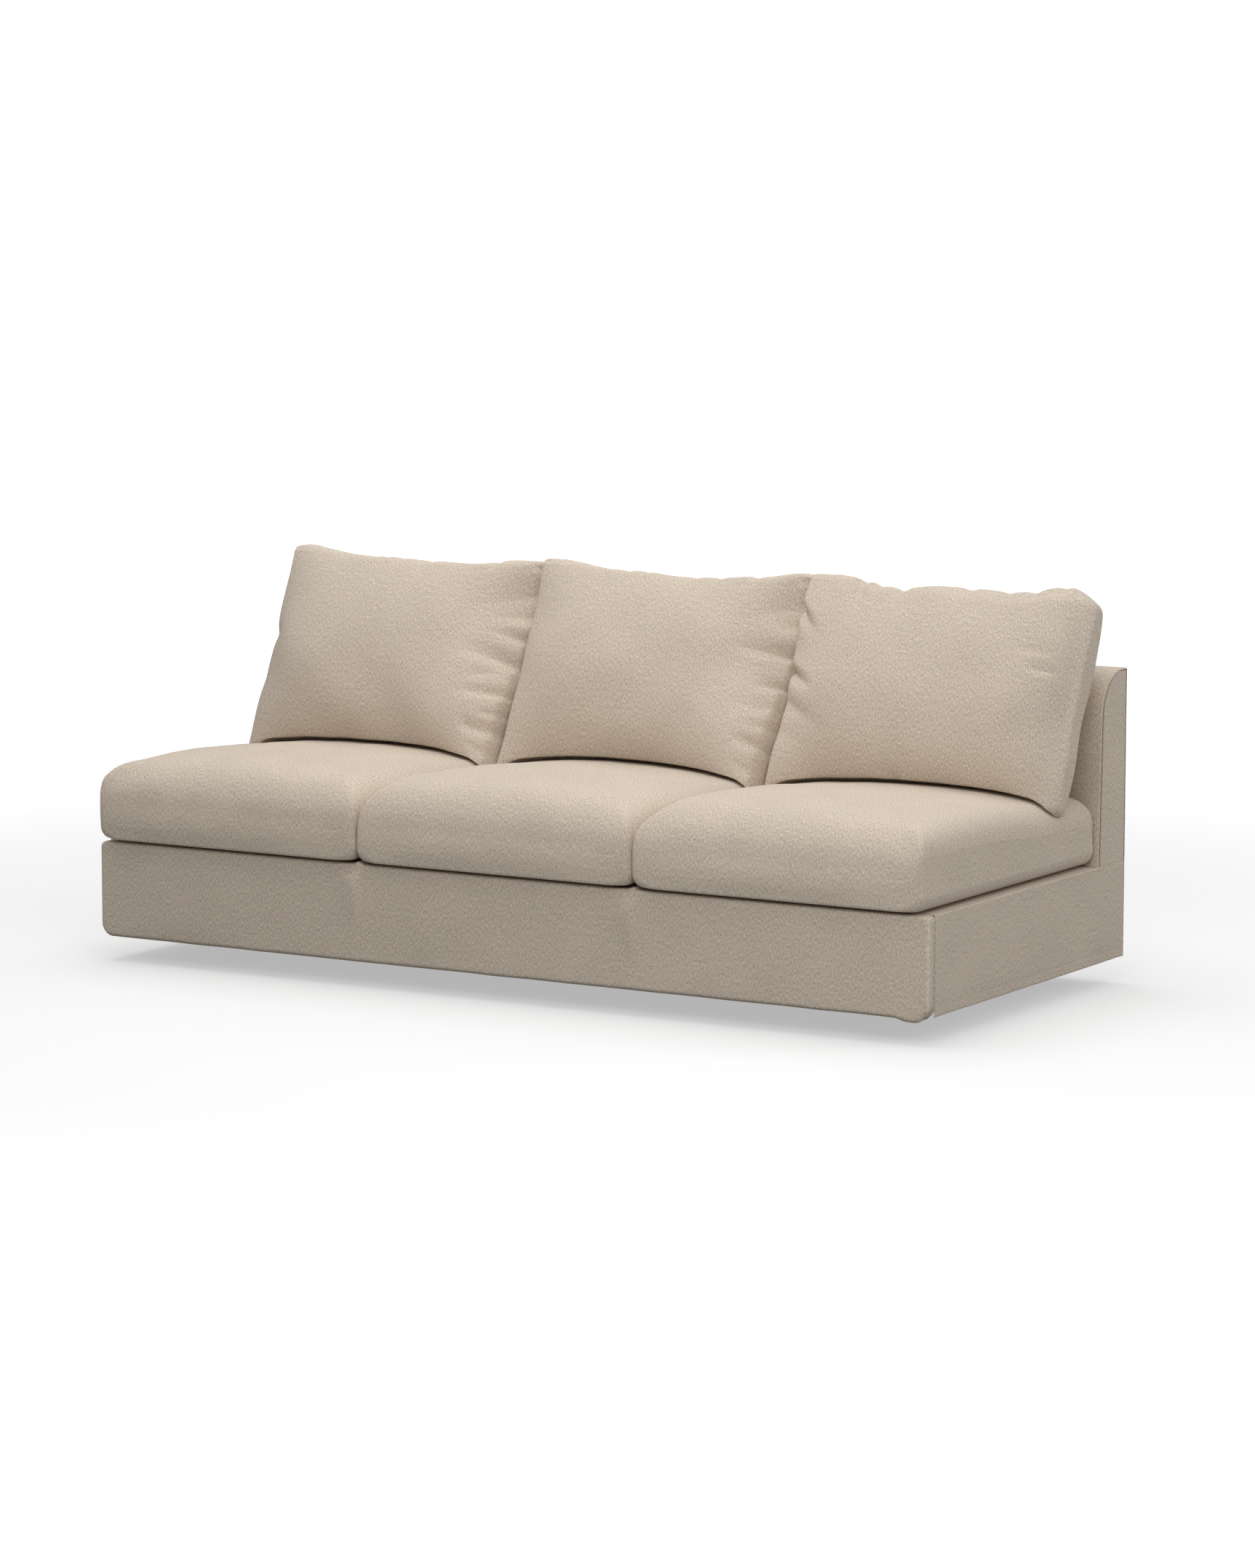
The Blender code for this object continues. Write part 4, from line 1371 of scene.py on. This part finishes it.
@dataclass
class Panel:
    """A flat or curved sheet of the cover, made as a grid with its cloth's thickness."""

    name: str
    flat: tuple[float, float]
    area: float | None = None
    rests_on: tuple[str, ...] = ("seat_deck",)
    hold: Hold = Hold.STRETCHED

    def sheet(self, outer: Array, inner: Array, seam: Array | None = None) -> bpy.types.Object:
        """Make a closed sheet from two grids of points.

        Args:
            outer: Grid of points of the face that shows, in room places.
            inner: The same grid on the other face.
            seam: How strongly each point of the grid gets painted seam shadow, from 0 to 1.

        Returns:
            The sheet's object, moved to the frame's places.
        """
        rows, columns = outer.shape[:2]
        number = np.arange(rows * columns).reshape(rows, columns)
        points = np.concatenate([outer.reshape(-1, 3), inner.reshape(-1, 3)])
        inside = number + rows * columns
        quads = [grid_quads(number), grid_quads(inside[:, ::-1])]
        cut = [grid_cut(points, number), grid_cut(points, inside[:, ::-1])]
        ring = np.concatenate([number[:, 0], number[-1, 1:], number[-2::-1, -1], number[0, -2::-1]])
        rim = np.stack([ring, ring + rows * columns])
        quads.append(grid_quads(rim))
        cut.append(grid_cut(points, rim))
        # The painted seam shadow's strength, on both faces
        facts = {} if seam is None else {SEAM_SHADOW_PAINT_FACT: np.concatenate([seam.ravel(), seam.ravel()])}
        placed = points - np.array(SIZES.origin)
        piece = ClothForm(placed, np.concatenate(quads), np.concatenate(cut), facts)
        piece = piece.make_object(self.name + "_cloth")
        piece.data.set_sharp_from_angle(angle=math.radians(60))
        return piece

    def finish(self, piece: bpy.types.Object) -> bpy.types.Object:
        """Dress the sheet.

        Args:
            piece: The sheet's object.

        Returns:
            The same object.
        """
        dress_piece(piece, [self.name], CLOTH)
        return piece


@dataclass
class StitchRow:
    """A straight row of sewing stitches on a panel."""

    start: tuple[float, float, float]
    end: tuple[float, float, float]
    outward: tuple[float, float, float]
    pitch: float = 0.0046
    length: float = 0.0034
    thread: float = 0.0006
    sides: int = 6

    # Along the stitch: share of its length, width share, lift in threads
    STATIONS: ClassVar[Rows] = [
        (-0.5, 0.25, -0.5),
        (-0.3, 0.9, 0.1),
        (0.0, 1.0, 0.25),
        (0.3, 0.9, 0.1),
        (0.5, 0.25, -0.5),
    ]

    def meshes(self) -> tuple[Array, Array]:
        """Points and quads of all stitches in the row.

        Returns:
            Points in room places, and quads.
        """
        start, end = np.array(self.start), np.array(self.end)
        out = np.array(self.outward)
        run = (end - start) / np.linalg.norm(end - start)
        side = np.cross(out, run)
        count = int(np.linalg.norm(end - start) / self.pitch)
        ring = np.linspace(0, 2 * math.pi, self.sides, endpoint=False)
        one = []
        for along, wide, lift in self.STATIONS:
            centre = run * along * self.length
            for angle in ring:
                radial = side * math.cos(angle) + out * math.sin(angle)
                one.append(centre + radial * wide * self.thread / 2 + out * lift * self.thread)
        one = np.array(one)
        number = np.arange(len(one)).reshape(len(self.STATIONS), self.sides)
        wrapped = np.concatenate([number, number[:, :1]], 1)
        first, last = number[0], number[-1]
        ends = [first[[0, 1, 2, 3]], first[[0, 3, 4, 5]], last[[3, 2, 1, 0]], last[[5, 4, 3, 0]]]
        quads = np.concatenate([grid_quads(wrapped), np.array(ends)])
        places = start + run * ((np.arange(count) + 0.5) * self.pitch)[:, None]
        points = (places[:, None] + one[None]).reshape(-1, 3)
        offsets = (np.arange(count) * len(one))[:, None, None]
        return points, (quads[None] + offsets).reshape(-1, 4)


@dataclass
class BaseCover:
    """The cover of the seat base: apron, deck and two ends."""

    turn: float = 0.006
    top_corner: float = 0.014
    peak_height: float = 0.006
    peak_width: float = 0.009
    foot_corner: float = 0.028
    pleat_offset: float = 0.0105
    pleat_width: Ends = (0.040, 0.011)
    pleat_height: float = 0.0085
    pleat_head: Ends = (0.003, 0.042)
    pleat_foot: Ends = (0.06, 0.18)
    peak_offset: float = 0.003
    peak_reach: float = 0.03
    tuck_x: float = 1.018
    tuck_width: float = 0.030
    tuck_drop: float = 0.007
    tuck_reach: float = 0.030
    turned_back: float = 0.030
    rim_rows: Ends = (0.016, 0.023)
    face_waves: Ends = (0.30, 0.0008)
    foot_waves: Ends = (0.12, 0.0002)
    grid_step: float = 0.016
    hem_extra: float = 0.001
    side_roll: float = 0.0025
    foot_roll: float = 0.0014
    top_roll: float = 0.0020
    roll_share: float = 0.8
    groove_depth: float = 0.0005
    groove_width: float = 0.0018
    most_slack: float = 0.0016
    calm_reach: float = 0.02
    seam_edge: float = 0.0012

    # Grid lines: distances in from the edges of the apron and of a hanging panel
    APRON_STEPS: ClassVar[list[float]] = [0.0, 0.0015, 0.004, 0.008, 0.013, 0.020]
    PANEL_STEPS: ClassVar[list[float]] = [0.0, 0.0015, 0.004, 0.010]

    def tray(self, xs: Array, zs: Array, returns: tuple[float, ...]) -> tuple[Array, Array, Array]:
        """The apron's face and its turned-back rim as one layer.

        Args:
            xs: Grid lines across.
            zs: Grid lines up, from the middle.
            returns: How far back each row of the rim lies.

        Returns:
            Points with their depth as y, quads that face out, and cut-cloth places.
        """
        number = np.arange(len(xs) * len(zs)).reshape(len(xs), len(zs))
        grid_x, grid_z = np.meshgrid(xs, zs, indexing="ij")
        face = np.stack([grid_x, np.zeros_like(grid_x), grid_z], -1).reshape(-1, 3)
        ring = np.concatenate([number[:, 0], number[-1, 1:], number[-2::-1, -1], number[0, -2:0:-1]])
        points, rims = [face], [ring]
        for order, depth in enumerate(returns):
            row = face[ring].copy()
            row[:, 1] = depth
            points.append(row)
            rims.append(len(face) + order * len(ring) + np.arange(len(ring)))
        closed = np.array([np.append(rim, rim[0]) for rim in rims])
        points = np.concatenate(points)
        quads = np.concatenate([grid_quads(number), grid_quads(closed)])
        cut = np.concatenate([grid_cut(points, number), grid_cut(points, closed)])
        return points, quads, cut

    def apron(self) -> bpy.types.Object:
        """Make the apron with its turned edges, a light pleat under each split and the tuck at its foot.

        Returns:
            The finished piece.
        """
        mid_z = (SIZES.hem_height + SIZES.deck_top) / 2
        half_z = (SIZES.deck_top - SIZES.hem_height) / 2
        split_x = SIZES.pitch / 2
        fine = [(-split_x, 0.036, 0.003), (split_x, 0.036, 0.003)]
        xs = spaced_lines(-SIZES.half, SIZES.half, 0.011, self.APRON_STEPS, fine)
        zs = spaced_lines(-half_z, half_z, 0.009, self.APRON_STEPS)
        points, quads, cut = self.tray(xs, zs, (self.turn, *self.rim_rows, SIZES.apron_return))
        is_head = points[:, 2] > 0
        head = round_corners(points[:, 0], points[:, 2], SIZES.half, half_z, self.top_corner)
        foot = round_corners(points[:, 0], points[:, 2], SIZES.half, half_z, self.foot_corner)
        x, z, depth = (np.where(is_head, first, second) for first, second in zip(head, foot))
        on_face = points[:, 1] == 0.0
        y = np.where(on_face, quarter_drop(depth, self.turn), points[:, 1]) + SIZES.apron_face
        y = np.where(points[:, 1] == SIZES.apron_return, SIZES.apron_return, y)
        height = z + mid_z
        inner = np.clip(depth / 0.03, 0, 1)
        wavelength, size = self.face_waves
        y += on_face * inner * size * SoftNoise(5, wavelength).at(x, height)
        share = smooth_step(*self.pleat_head, SIZES.deck_top - height)
        share = share * smooth_step(*self.pleat_foot, height - SIZES.hem_height)
        for middle in (-split_x, split_x):
            off = x - middle + self.pleat_offset
            wide = np.where(off < 0, *self.pleat_width)
            y -= self.pleat_height * share * np.exp(-(off / wide) ** 2) * on_face
            rise = self.peak_height * np.exp(-((x - middle + self.peak_offset) / self.peak_width) ** 2)
            height = height + rise * np.clip((height - SIZES.deck_top) / self.peak_reach + 1, 0, 1) ** 2
        foot_share = np.clip(1 - (height - SIZES.hem_height) / self.tuck_reach, 0, 1)
        drop = self.tuck_drop * np.exp(-((x - self.tuck_x) / self.tuck_width) ** 4)
        wavelength, size = self.foot_waves
        drop = drop + size * SoftNoise(6, wavelength).at(x, np.zeros_like(x))
        height -= drop * foot_share
        form = ClothForm(np.column_stack([x, y, height]) - np.array(SIZES.origin), quads, cut)
        piece = form.make_object("front_apron_cloth")
        solid = piece.modifiers.new("cloth thickness", "SOLIDIFY")
        solid.thickness = SIZES.cloth
        solid.offset = -1.0
        wide = SIZES.width + 2 * self.turned_back
        tall = SIZES.deck_top - SIZES.hem_height + 2 * self.turned_back
        return Panel("front_apron", flat=(wide, tall)).finish(piece)

    def deck(self) -> bpy.types.Object:
        """Make the plain cloth under the seat cushions.

        Returns:
            The finished piece.
        """
        edge = SIZES.half - SIZES.cloth - SIZES.seam_gap
        front, back = SIZES.apron_return + SIZES.seam_gap, SIZES.backrest_foot + SIZES.cloth
        xs, ys = np.linspace(-edge, edge, 41), np.linspace(front, back, 17)
        x, y = np.meshgrid(xs, ys, indexing="ij")
        top = np.stack([x, y, np.full_like(x, SIZES.deck_top)], -1)
        low = top - np.array([0, 0, SIZES.cloth])
        panel = Panel("seat_deck", flat=(2 * edge, back - front), rests_on=("seat_cushion_left",))
        return panel.finish(panel.sheet(top, low))

    def end(self, side: Side) -> bpy.types.Object:
        """Make one end panel of the base, with its doubled hem.

        Args:
            side: Which end.

        Returns:
            The finished piece.
        """
        front = SIZES.apron_return + SIZES.seam_gap
        back = SIZES.back_face - SIZES.cloth - SIZES.seam_gap
        y, z, relief, thick = self.hemmed_grid(front, back, SIZES.deck_top, 31 + side.order)
        out = SIZES.half - relief
        outer = np.stack([side.order * out, y, z], -1)
        inner = np.stack([side.order * (SIZES.half - thick), y, z], -1)
        if side is Side.LEFT:
            outer, inner = outer[::-1], inner[::-1]
        hem = SIZES.hem_depth
        panel = Panel("base_side_" + side.value, (back - front, SIZES.deck_top - SIZES.hem_height + hem))
        return panel.finish(panel.sheet(outer, inner))

    def hemmed_grid(self, low: float, high: float, top: float,
                    seed: int) -> tuple[Array, Array, Array, Array]:
        """The grid of a panel that hangs down to a sewn hem.

        Args:
            low: First place across.
            high: Last place across.
            top: Height of its upper seam.
            seed: Seed of its unevenness.

        Returns:
            Places across, heights, how far the face sinks in, and the panel's thickness.
        """
        lines = spaced_lines(low, high, self.grid_step, self.PANEL_STEPS)
        stitch = SIZES.stitch_height
        rows = spaced_lines(SIZES.hem_height, top, self.grid_step, self.PANEL_STEPS,
                            [(stitch, 0.008, 0.002)])
        place, height = np.meshgrid(lines, rows, indexing="ij")
        near = np.minimum(place - low, high - place)
        side_roll = quarter_drop(near, self.side_roll) * self.roll_share
        foot_roll = quarter_drop(height - SIZES.hem_height, self.foot_roll)
        top_roll = quarter_drop(top - height, self.top_roll) * self.roll_share
        groove = self.groove_depth * np.exp(-((height - stitch) / self.groove_width) ** 2)
        quiver = SoftNoise(seed, 0.045).at(place, height * 0.35)
        below = 1 - smooth_step(stitch, stitch + 0.02, height)
        slack = 0.0006 * (1 + SoftNoise(seed + 50, 0.33).at(place, height)) + 0.0003 * (1.5 + quiver) * below
        calm = smooth_step(0.0, self.calm_reach, near) * smooth_step(0.0, self.calm_reach, top - height)
        relief = side_roll + foot_roll + top_roll + groove + np.clip(slack, 0, self.most_slack) * calm
        doubled = height < SIZES.hem_height + SIZES.hem_depth - SIZES.seam_gap
        thick = relief + SIZES.cloth + np.where(doubled, self.hem_extra, 0)
        thick = np.where(near < SIZES.seam_gap, relief + self.seam_edge, thick)
        return place, height, relief, np.minimum(thick, SIZES.cloth + self.hem_extra)

    def build(self) -> list[bpy.types.Object]:
        """Make the four pieces of the base cover."""
        return [self.apron(), self.deck(), self.end(Side.LEFT), self.end(Side.RIGHT)]


@dataclass
class BackrestCover:
    """The cover of the backrest: inner back with its head, two end panels and the outer back."""

    base: BaseCover
    seam_roll: float = 0.0026
    groove_depth: float = 0.0034
    groove_width: float = 0.0026
    # Depths in from the seam where the painted seam shadow is full and where it has faded out
    painted_seam_shadow: Ends = (0.0016, 0.0044)
    front_seam: float = 1.9
    straight_rows: int = 22
    slack_depth: float = 0.0007
    slack_wave: float = 0.26
    most_slack: float = 0.003
    thinned: float = 0.0012
    thinnest: float = 0.0008

    # Grid lines: distances in from the inner back's ends, and shares of an end panel's depth
    BACK_STEPS: ClassVar[list[float]] = [0.0, 0.0010, 0.0025, 0.006, 0.012]
    END_STEPS: ClassVar[list[float]] = [0.0, 0.008, 0.018, 0.03, 0.05, 0.09]

    def profile(self, inset: float, turns: int) -> Array:
        """The backrest's front and head in side view.

        Args:
            inset: How far inside the cover's outer face it runs.
            turns: Steps round the head's front.

        Returns:
            Rows of y and z, from the deck up and over.
        """
        arc_y = SIZES.backrest_front + SIZES.backrest_round
        arc_z = SIZES.back_top - SIZES.backrest_round
        radius = SIZES.backrest_round - inset
        rise = SIZES.deck_top + SIZES.seam_gap
        shares = np.linspace(0, 1, self.straight_rows, endpoint=False)
        start_y = SIZES.backrest_foot + inset
        run = SIZES.backrest_front - SIZES.backrest_foot
        straight = np.column_stack([start_y + run * shares, rise + (arc_z - rise) * shares])
        angles = np.linspace(0, math.pi / 2, turns + 1)
        curved = np.column_stack([arc_y - radius * np.cos(angles), arc_z + radius * np.sin(angles)])
        return np.concatenate([straight, curved])

    def inner_back(self) -> bpy.types.Object:
        """Make the cloth that runs up the backrest's front and over its head.

        Returns:
            The finished piece.
        """
        line = self.profile(0.0, 18)
        tail = np.linspace(line[-1, 0], SIZES.back_face, 6)[1:]
        line = np.concatenate([line, np.column_stack([tail, np.full(5, SIZES.back_top)])])
        slope = np.gradient(line, axis=0)
        slope /= np.linalg.norm(slope, axis=1, keepdims=True)
        out = np.column_stack([-slope[:, 1], slope[:, 0]])
        out[out[:, 1] < 0] *= -1
        xs = spaced_lines(-SIZES.half, SIZES.half, 0.014, self.BACK_STEPS)
        length = np.append(0, np.cumsum(np.linalg.norm(np.diff(line, axis=0), axis=1)))
        x, along = np.meshgrid(xs, length, indexing="ij")
        near = SIZES.half - np.abs(x)
        waves = SoftNoise(71, self.slack_wave).at(x, along)
        slack = self.slack_depth * (1.2 + waves) * smooth_step(0, 0.05, near)
        slack = slack * smooth_step(0, 0.02, length[-1] - along)
        relief = quarter_drop(near, self.seam_roll) + np.clip(slack, 0, self.most_slack)
        relief = relief + quarter_drop(length[-1] - along, self.seam_roll)
        grid_y = line[:, 0][None, :] - out[:, 0][None, :] * relief
        grid_z = line[:, 1][None, :] - out[:, 1][None, :] * relief
        outer = np.stack([x, grid_y, grid_z], -1)
        depth = np.maximum(SIZES.cloth - np.clip(relief, 0, self.thinned), self.thinnest)
        inner = np.stack([x, grid_y - out[:, 0] * depth, grid_z - out[:, 1] * depth], -1)
        panel = Panel("backrest_front", (SIZES.width, float(length[-1])))
        return panel.finish(panel.sheet(outer, inner))

    def end(self, side: Side) -> bpy.types.Object:
        """Make one shaped end panel of the backrest, with the groove of its seam and painted shadow along
        that groove.

        Args:
            side: Which end.

        Returns:
            The finished piece.
        """
        inset = SIZES.cloth + SIZES.seam_gap
        rear = SIZES.back_face - inset
        line = self.profile(inset, 16)
        line[:, 1] = np.minimum(line[:, 1], SIZES.back_top - inset)
        shares = spaced_lines(0.0, 1.0, 0.09, self.END_STEPS)
        share, front = np.meshgrid(shares, line[:, 0], indexing="ij")
        y = front + share * (rear - front)
        z = np.broadcast_to(line[:, 1][None, :], y.shape)
        near = np.minimum(np.minimum(y - front, rear - y), SIZES.back_top - inset - z)
        relief = quarter_drop(near, self.seam_roll)
        relief = relief + self.groove_depth * np.exp(-(near / self.groove_width) ** 2)
        thick = np.maximum(SIZES.cloth, relief + self.thinnest)
        # Painted shadow along the seam groove, reaching further in along the front seam
        seam = 1 - smooth_step(*self.painted_seam_shadow, np.minimum(near, (y - front) / self.front_seam))
        outer = np.stack([side.order * (SIZES.half - relief), y, z], -1)
        inner = np.stack([side.order * (SIZES.half - thick), y, z], -1)
        if side is Side.LEFT:
            outer, inner, seam = outer[::-1], inner[::-1], seam[::-1]
        height = line[-1, 1] - line[0, 1]
        area = float(np.trapz(rear - line[:, 0], line[:, 1]))
        panel = Panel("backrest_end_" + side.value, (float(rear - line[0, 0]), float(height)), area)
        return panel.finish(panel.sheet(outer, inner, seam=seam))

    def outer_back(self) -> bpy.types.Object:
        """Make the plain outer back, which hangs to a doubled hem.

        Returns:
            The finished piece.
        """
        top = SIZES.back_top - SIZES.cloth - SIZES.seam_gap
        x, z, relief, thick = self.base.hemmed_grid(-SIZES.half, SIZES.half, top, 90)
        outer = np.stack([x, SIZES.back_face - relief, z], -1)[::-1]
        corner_clear = np.abs(x) < SIZES.half - 0.01
        thick = np.where(corner_clear, thick, np.minimum(thick, SIZES.cloth))
        inner = np.stack([x, SIZES.back_face - thick, z], -1)[::-1]
        panel = Panel("back_panel", (SIZES.width, top - SIZES.hem_height + SIZES.hem_depth))
        return panel.finish(panel.sheet(outer, inner))

    def build(self) -> list[bpy.types.Object]:
        """Make the four pieces of the backrest cover."""
        return [self.inner_back(), self.end(Side.LEFT), self.end(Side.RIGHT), self.outer_back()]


@dataclass
class HemStitching:
    """The stitches that hold the doubled hems of the back and of the base's ends."""

    inset: float = 0.006
    sunk: float = 0.0009

    def build(self) -> bpy.types.Object:
        """Make all stitches as one piece.

        Returns:
            The finished piece.
        """
        height = SIZES.stitch_height
        front = SIZES.apron_return + self.inset
        back = SIZES.back_face - self.inset
        end, rear = SIZES.half - self.sunk, SIZES.back_face - self.sunk
        corner = SIZES.half - self.inset
        rows = [
            StitchRow((end, front, height), (end, back, height), (1, 0, 0)),
            StitchRow((-end, back, height), (-end, front, height), (-1, 0, 0)),
            StitchRow((corner, rear, height), (-corner, rear, height), (0, 1, 0)),
        ]
        points, quads, count = [], [], 0
        for row in rows:
            row_points, row_quads = row.meshes()
            points.append(row_points)
            quads.append(row_quads + count)
            count += len(row_points)
        quads = np.concatenate(quads)
        cut = np.zeros((len(quads), 4, 2))
        form = ClothForm(np.concatenate(points) - np.array(SIZES.origin), quads, cut)
        piece = form.make_object("hem_stitches")
        dress_piece(piece, [], THREAD)
        return piece


# ---------------------------------------------------------------- studio

@dataclass(frozen=True)
class Lamp:
    """One soft lamp of the studio."""

    name: str
    place: tuple[float, float, float]
    target: tuple[float, float, float]
    size: tuple[float, float]
    power: float

    def build(self) -> bpy.types.Object:
        """Make the lamp and aim it.

        Returns:
            The lamp.
        """
        data = bpy.data.lights.new(self.name, "AREA")
        data.shape = "RECTANGLE"
        data.size, data.size_y = self.size
        data.energy = self.power
        lamp = bpy.data.objects.new(self.name, data)
        lamp.location = self.place
        aim = Vector(self.target) - Vector(self.place)
        lamp.rotation_euler = aim.to_track_quat("-Z", "Y").to_euler()
        bpy.context.scene.collection.objects.link(lamp)
        return lamp


@dataclass
class Studio:
    """The pale floor, the soft light and the camera at the photo's angle."""

    floor_radius: float = 40.0
    floor_sides: int = 96
    focal_px: float = 6934.36
    image_long_side: int = 2156
    sensor: float = 36.0
    azimuth: float = math.radians(30.885)
    elevation: float = math.radians(7.606)
    roll: float = math.radians(0.075)
    camera_place: tuple[float, float, float] = (5.7784, -9.1046, 1.9173)
    lamps: tuple[Lamp, ...] = (
        Lamp("overhead", (-0.5, 0.1, 3.5), (0.0, 0.2, 0.0), (4.2, 3.0), 72.0),
        Lamp("right", (4.0, 1.8, 1.6), (0.9, 0.5, 0.4), (1.2, 1.2), 25.0),
        Lamp("front", (2.3, -3.2, 1.9), (0.2, 0.0, 0.1), (2.0, 1.5), 43.0),
    )
    dome: tuple[float, float] = (0.22, 0.70)
    floor_bounce: float = 0.30
    floor_shade: float = 0.50
    floor_glow: tuple[float, float] = (0.45, 1.0)
    glow_reach: tuple[float, float] = (1.6, 6.0)

    def floor(self) -> None:
        """Make the pale floor as a wide disc."""
        angles = np.linspace(0, 2 * math.pi, self.floor_sides, endpoint=False)
        across, along = self.floor_radius * np.cos(angles), self.floor_radius * np.sin(angles)
        rim = np.column_stack([across, along, np.full_like(angles, -SIZES.origin[2])])
        mesh = bpy.data.meshes.new("studio_floor")
        mesh.from_pydata(rim.tolist(), [], [list(range(self.floor_sides))])
        piece = bpy.data.objects.new("studio_floor", mesh)
        bpy.context.scene.collection.objects.link(piece)
        mesh.materials.append(self.floor_paint())

    def floor_paint(self) -> bpy.types.Material:
        """Make the floor's paint: pale near the cover, white further out, and dim to what it lights.

        Returns:
            The material.
        """
        paint = bpy.data.materials.new("pale_floor")
        paint.use_nodes = True
        tree = paint.node_tree
        tree.nodes.remove(tree.nodes["Principled BSDF"])
        board = NodeBoard(tree)
        place = board.add("ShaderNodeTexCoord").outputs["Object"]
        reach = board.feed(board.add("ShaderNodeVectorMath", operation="LENGTH"), i0=place)
        glow = board.feed(board.add("ShaderNodeMapRange", interpolation_type="SMOOTHSTEP"),
                          Value=reach.outputs["Value"], From_Min=self.glow_reach[0],
                          From_Max=self.glow_reach[1], To_Min=self.floor_glow[0],
                          To_Max=self.floor_glow[1])
        light = board.feed(board.add("ShaderNodeEmission"), Strength=glow.outputs[0])
        shade = board.feed(board.add("ShaderNodeBsdfDiffuse"), Color=(*[self.floor_shade] * 3, 1.0))
        shown = board.feed(board.add("ShaderNodeAddShader"), i0=light.outputs[0], i1=shade.outputs[0])
        bounce = board.feed(board.add("ShaderNodeBsdfDiffuse"), Color=(*[self.floor_bounce] * 3, 1.0))
        seen = board.add("ShaderNodeLightPath").outputs["Is Camera Ray"]
        mixed = board.feed(board.add("ShaderNodeMixShader"), i0=seen, i1=bounce.outputs[0],
                           i2=shown.outputs[0])
        board.feed(tree.nodes["Material Output"], Surface=mixed.outputs[0])
        return paint

    def sky(self) -> None:
        """Set a soft white dome that is a little brighter overhead."""
        world = bpy.data.worlds.new("soft_dome")
        world.use_nodes = True
        bpy.context.scene.world = world
        board = NodeBoard(world.node_tree)
        background = world.node_tree.nodes["Background"]
        place = board.add("ShaderNodeTexCoord").outputs["Generated"]
        split = board.feed(board.add("ShaderNodeSeparateXYZ"), i0=place)
        bright = board.feed(board.add("ShaderNodeMapRange"), Value=split.outputs["Z"], From_Min=0.0,
                            From_Max=1.0, To_Min=self.dome[0], To_Max=self.dome[1])
        seen = board.add("ShaderNodeLightPath").outputs["Is Camera Ray"]
        mixed = board.add("ShaderNodeMix", data_type="FLOAT")
        board.feed(mixed, i0=seen, i2=bright.outputs[0], i3=1.0)
        board.feed(background, Color=(1.0, 1.0, 1.0, 1.0), Strength=mixed.outputs[0])

    def camera(self) -> None:
        """Set the camera where the photo was taken from."""
        data = bpy.data.cameras.new("photo_camera")
        data.sensor_fit = "AUTO"
        data.sensor_width = self.sensor
        data.lens = self.focal_px / self.image_long_side * self.sensor
        data.clip_end = 200.0
        piece = bpy.data.objects.new("photo_camera", data)
        turn = Matrix.Rotation(self.azimuth, 4, "Z")
        tilt = Matrix.Rotation(math.pi / 2 - self.elevation, 4, "X")
        place = Matrix.Translation(Vector(self.camera_place) - Vector(SIZES.origin))
        piece.matrix_world = place @ turn @ tilt @ Matrix.Rotation(self.roll, 4, "Z")
        bpy.context.scene.collection.objects.link(piece)
        bpy.context.scene.camera = piece

    def build(self) -> None:
        """Make the whole studio."""
        self.floor()
        self.sky()
        self.camera()
        for lamp in self.lamps:
            lamp.build()
        bpy.context.scene.view_settings.view_transform = "Standard"


# ---------------------------------------------------------------- the set

def surfaces(pieces: list[bpy.types.Object]) -> BVHTree:
    """One search tree over several finished pieces.

    Args:
        pieces: The pieces.

    Returns:
        The tree of their faces, in the frame's places.
    """
    points, faces = [], []
    for piece in pieces:
        base = len(points)
        points += [vertex.co.copy() for vertex in piece.data.vertices]
        faces += [[base + i for i in face.vertices] for face in piece.data.polygons]
    return BVHTree.FromPolygons(points, faces)


def main() -> None:
    """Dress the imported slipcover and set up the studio."""
    logging.basicConfig(level=logging.INFO, format="%(name)s: %(message)s", force=True)
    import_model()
    Studio().build()
    seats = [SeatCushion(side).build() for side in Side]
    seat_tree = surfaces(seats)
    for side in Side:
        BackCushion(side).build(seat_tree)
    base = BaseCover()
    base.build()
    BackrestCover(base).build()
    HemStitching().build()


if __name__ == "__main__":
    main()
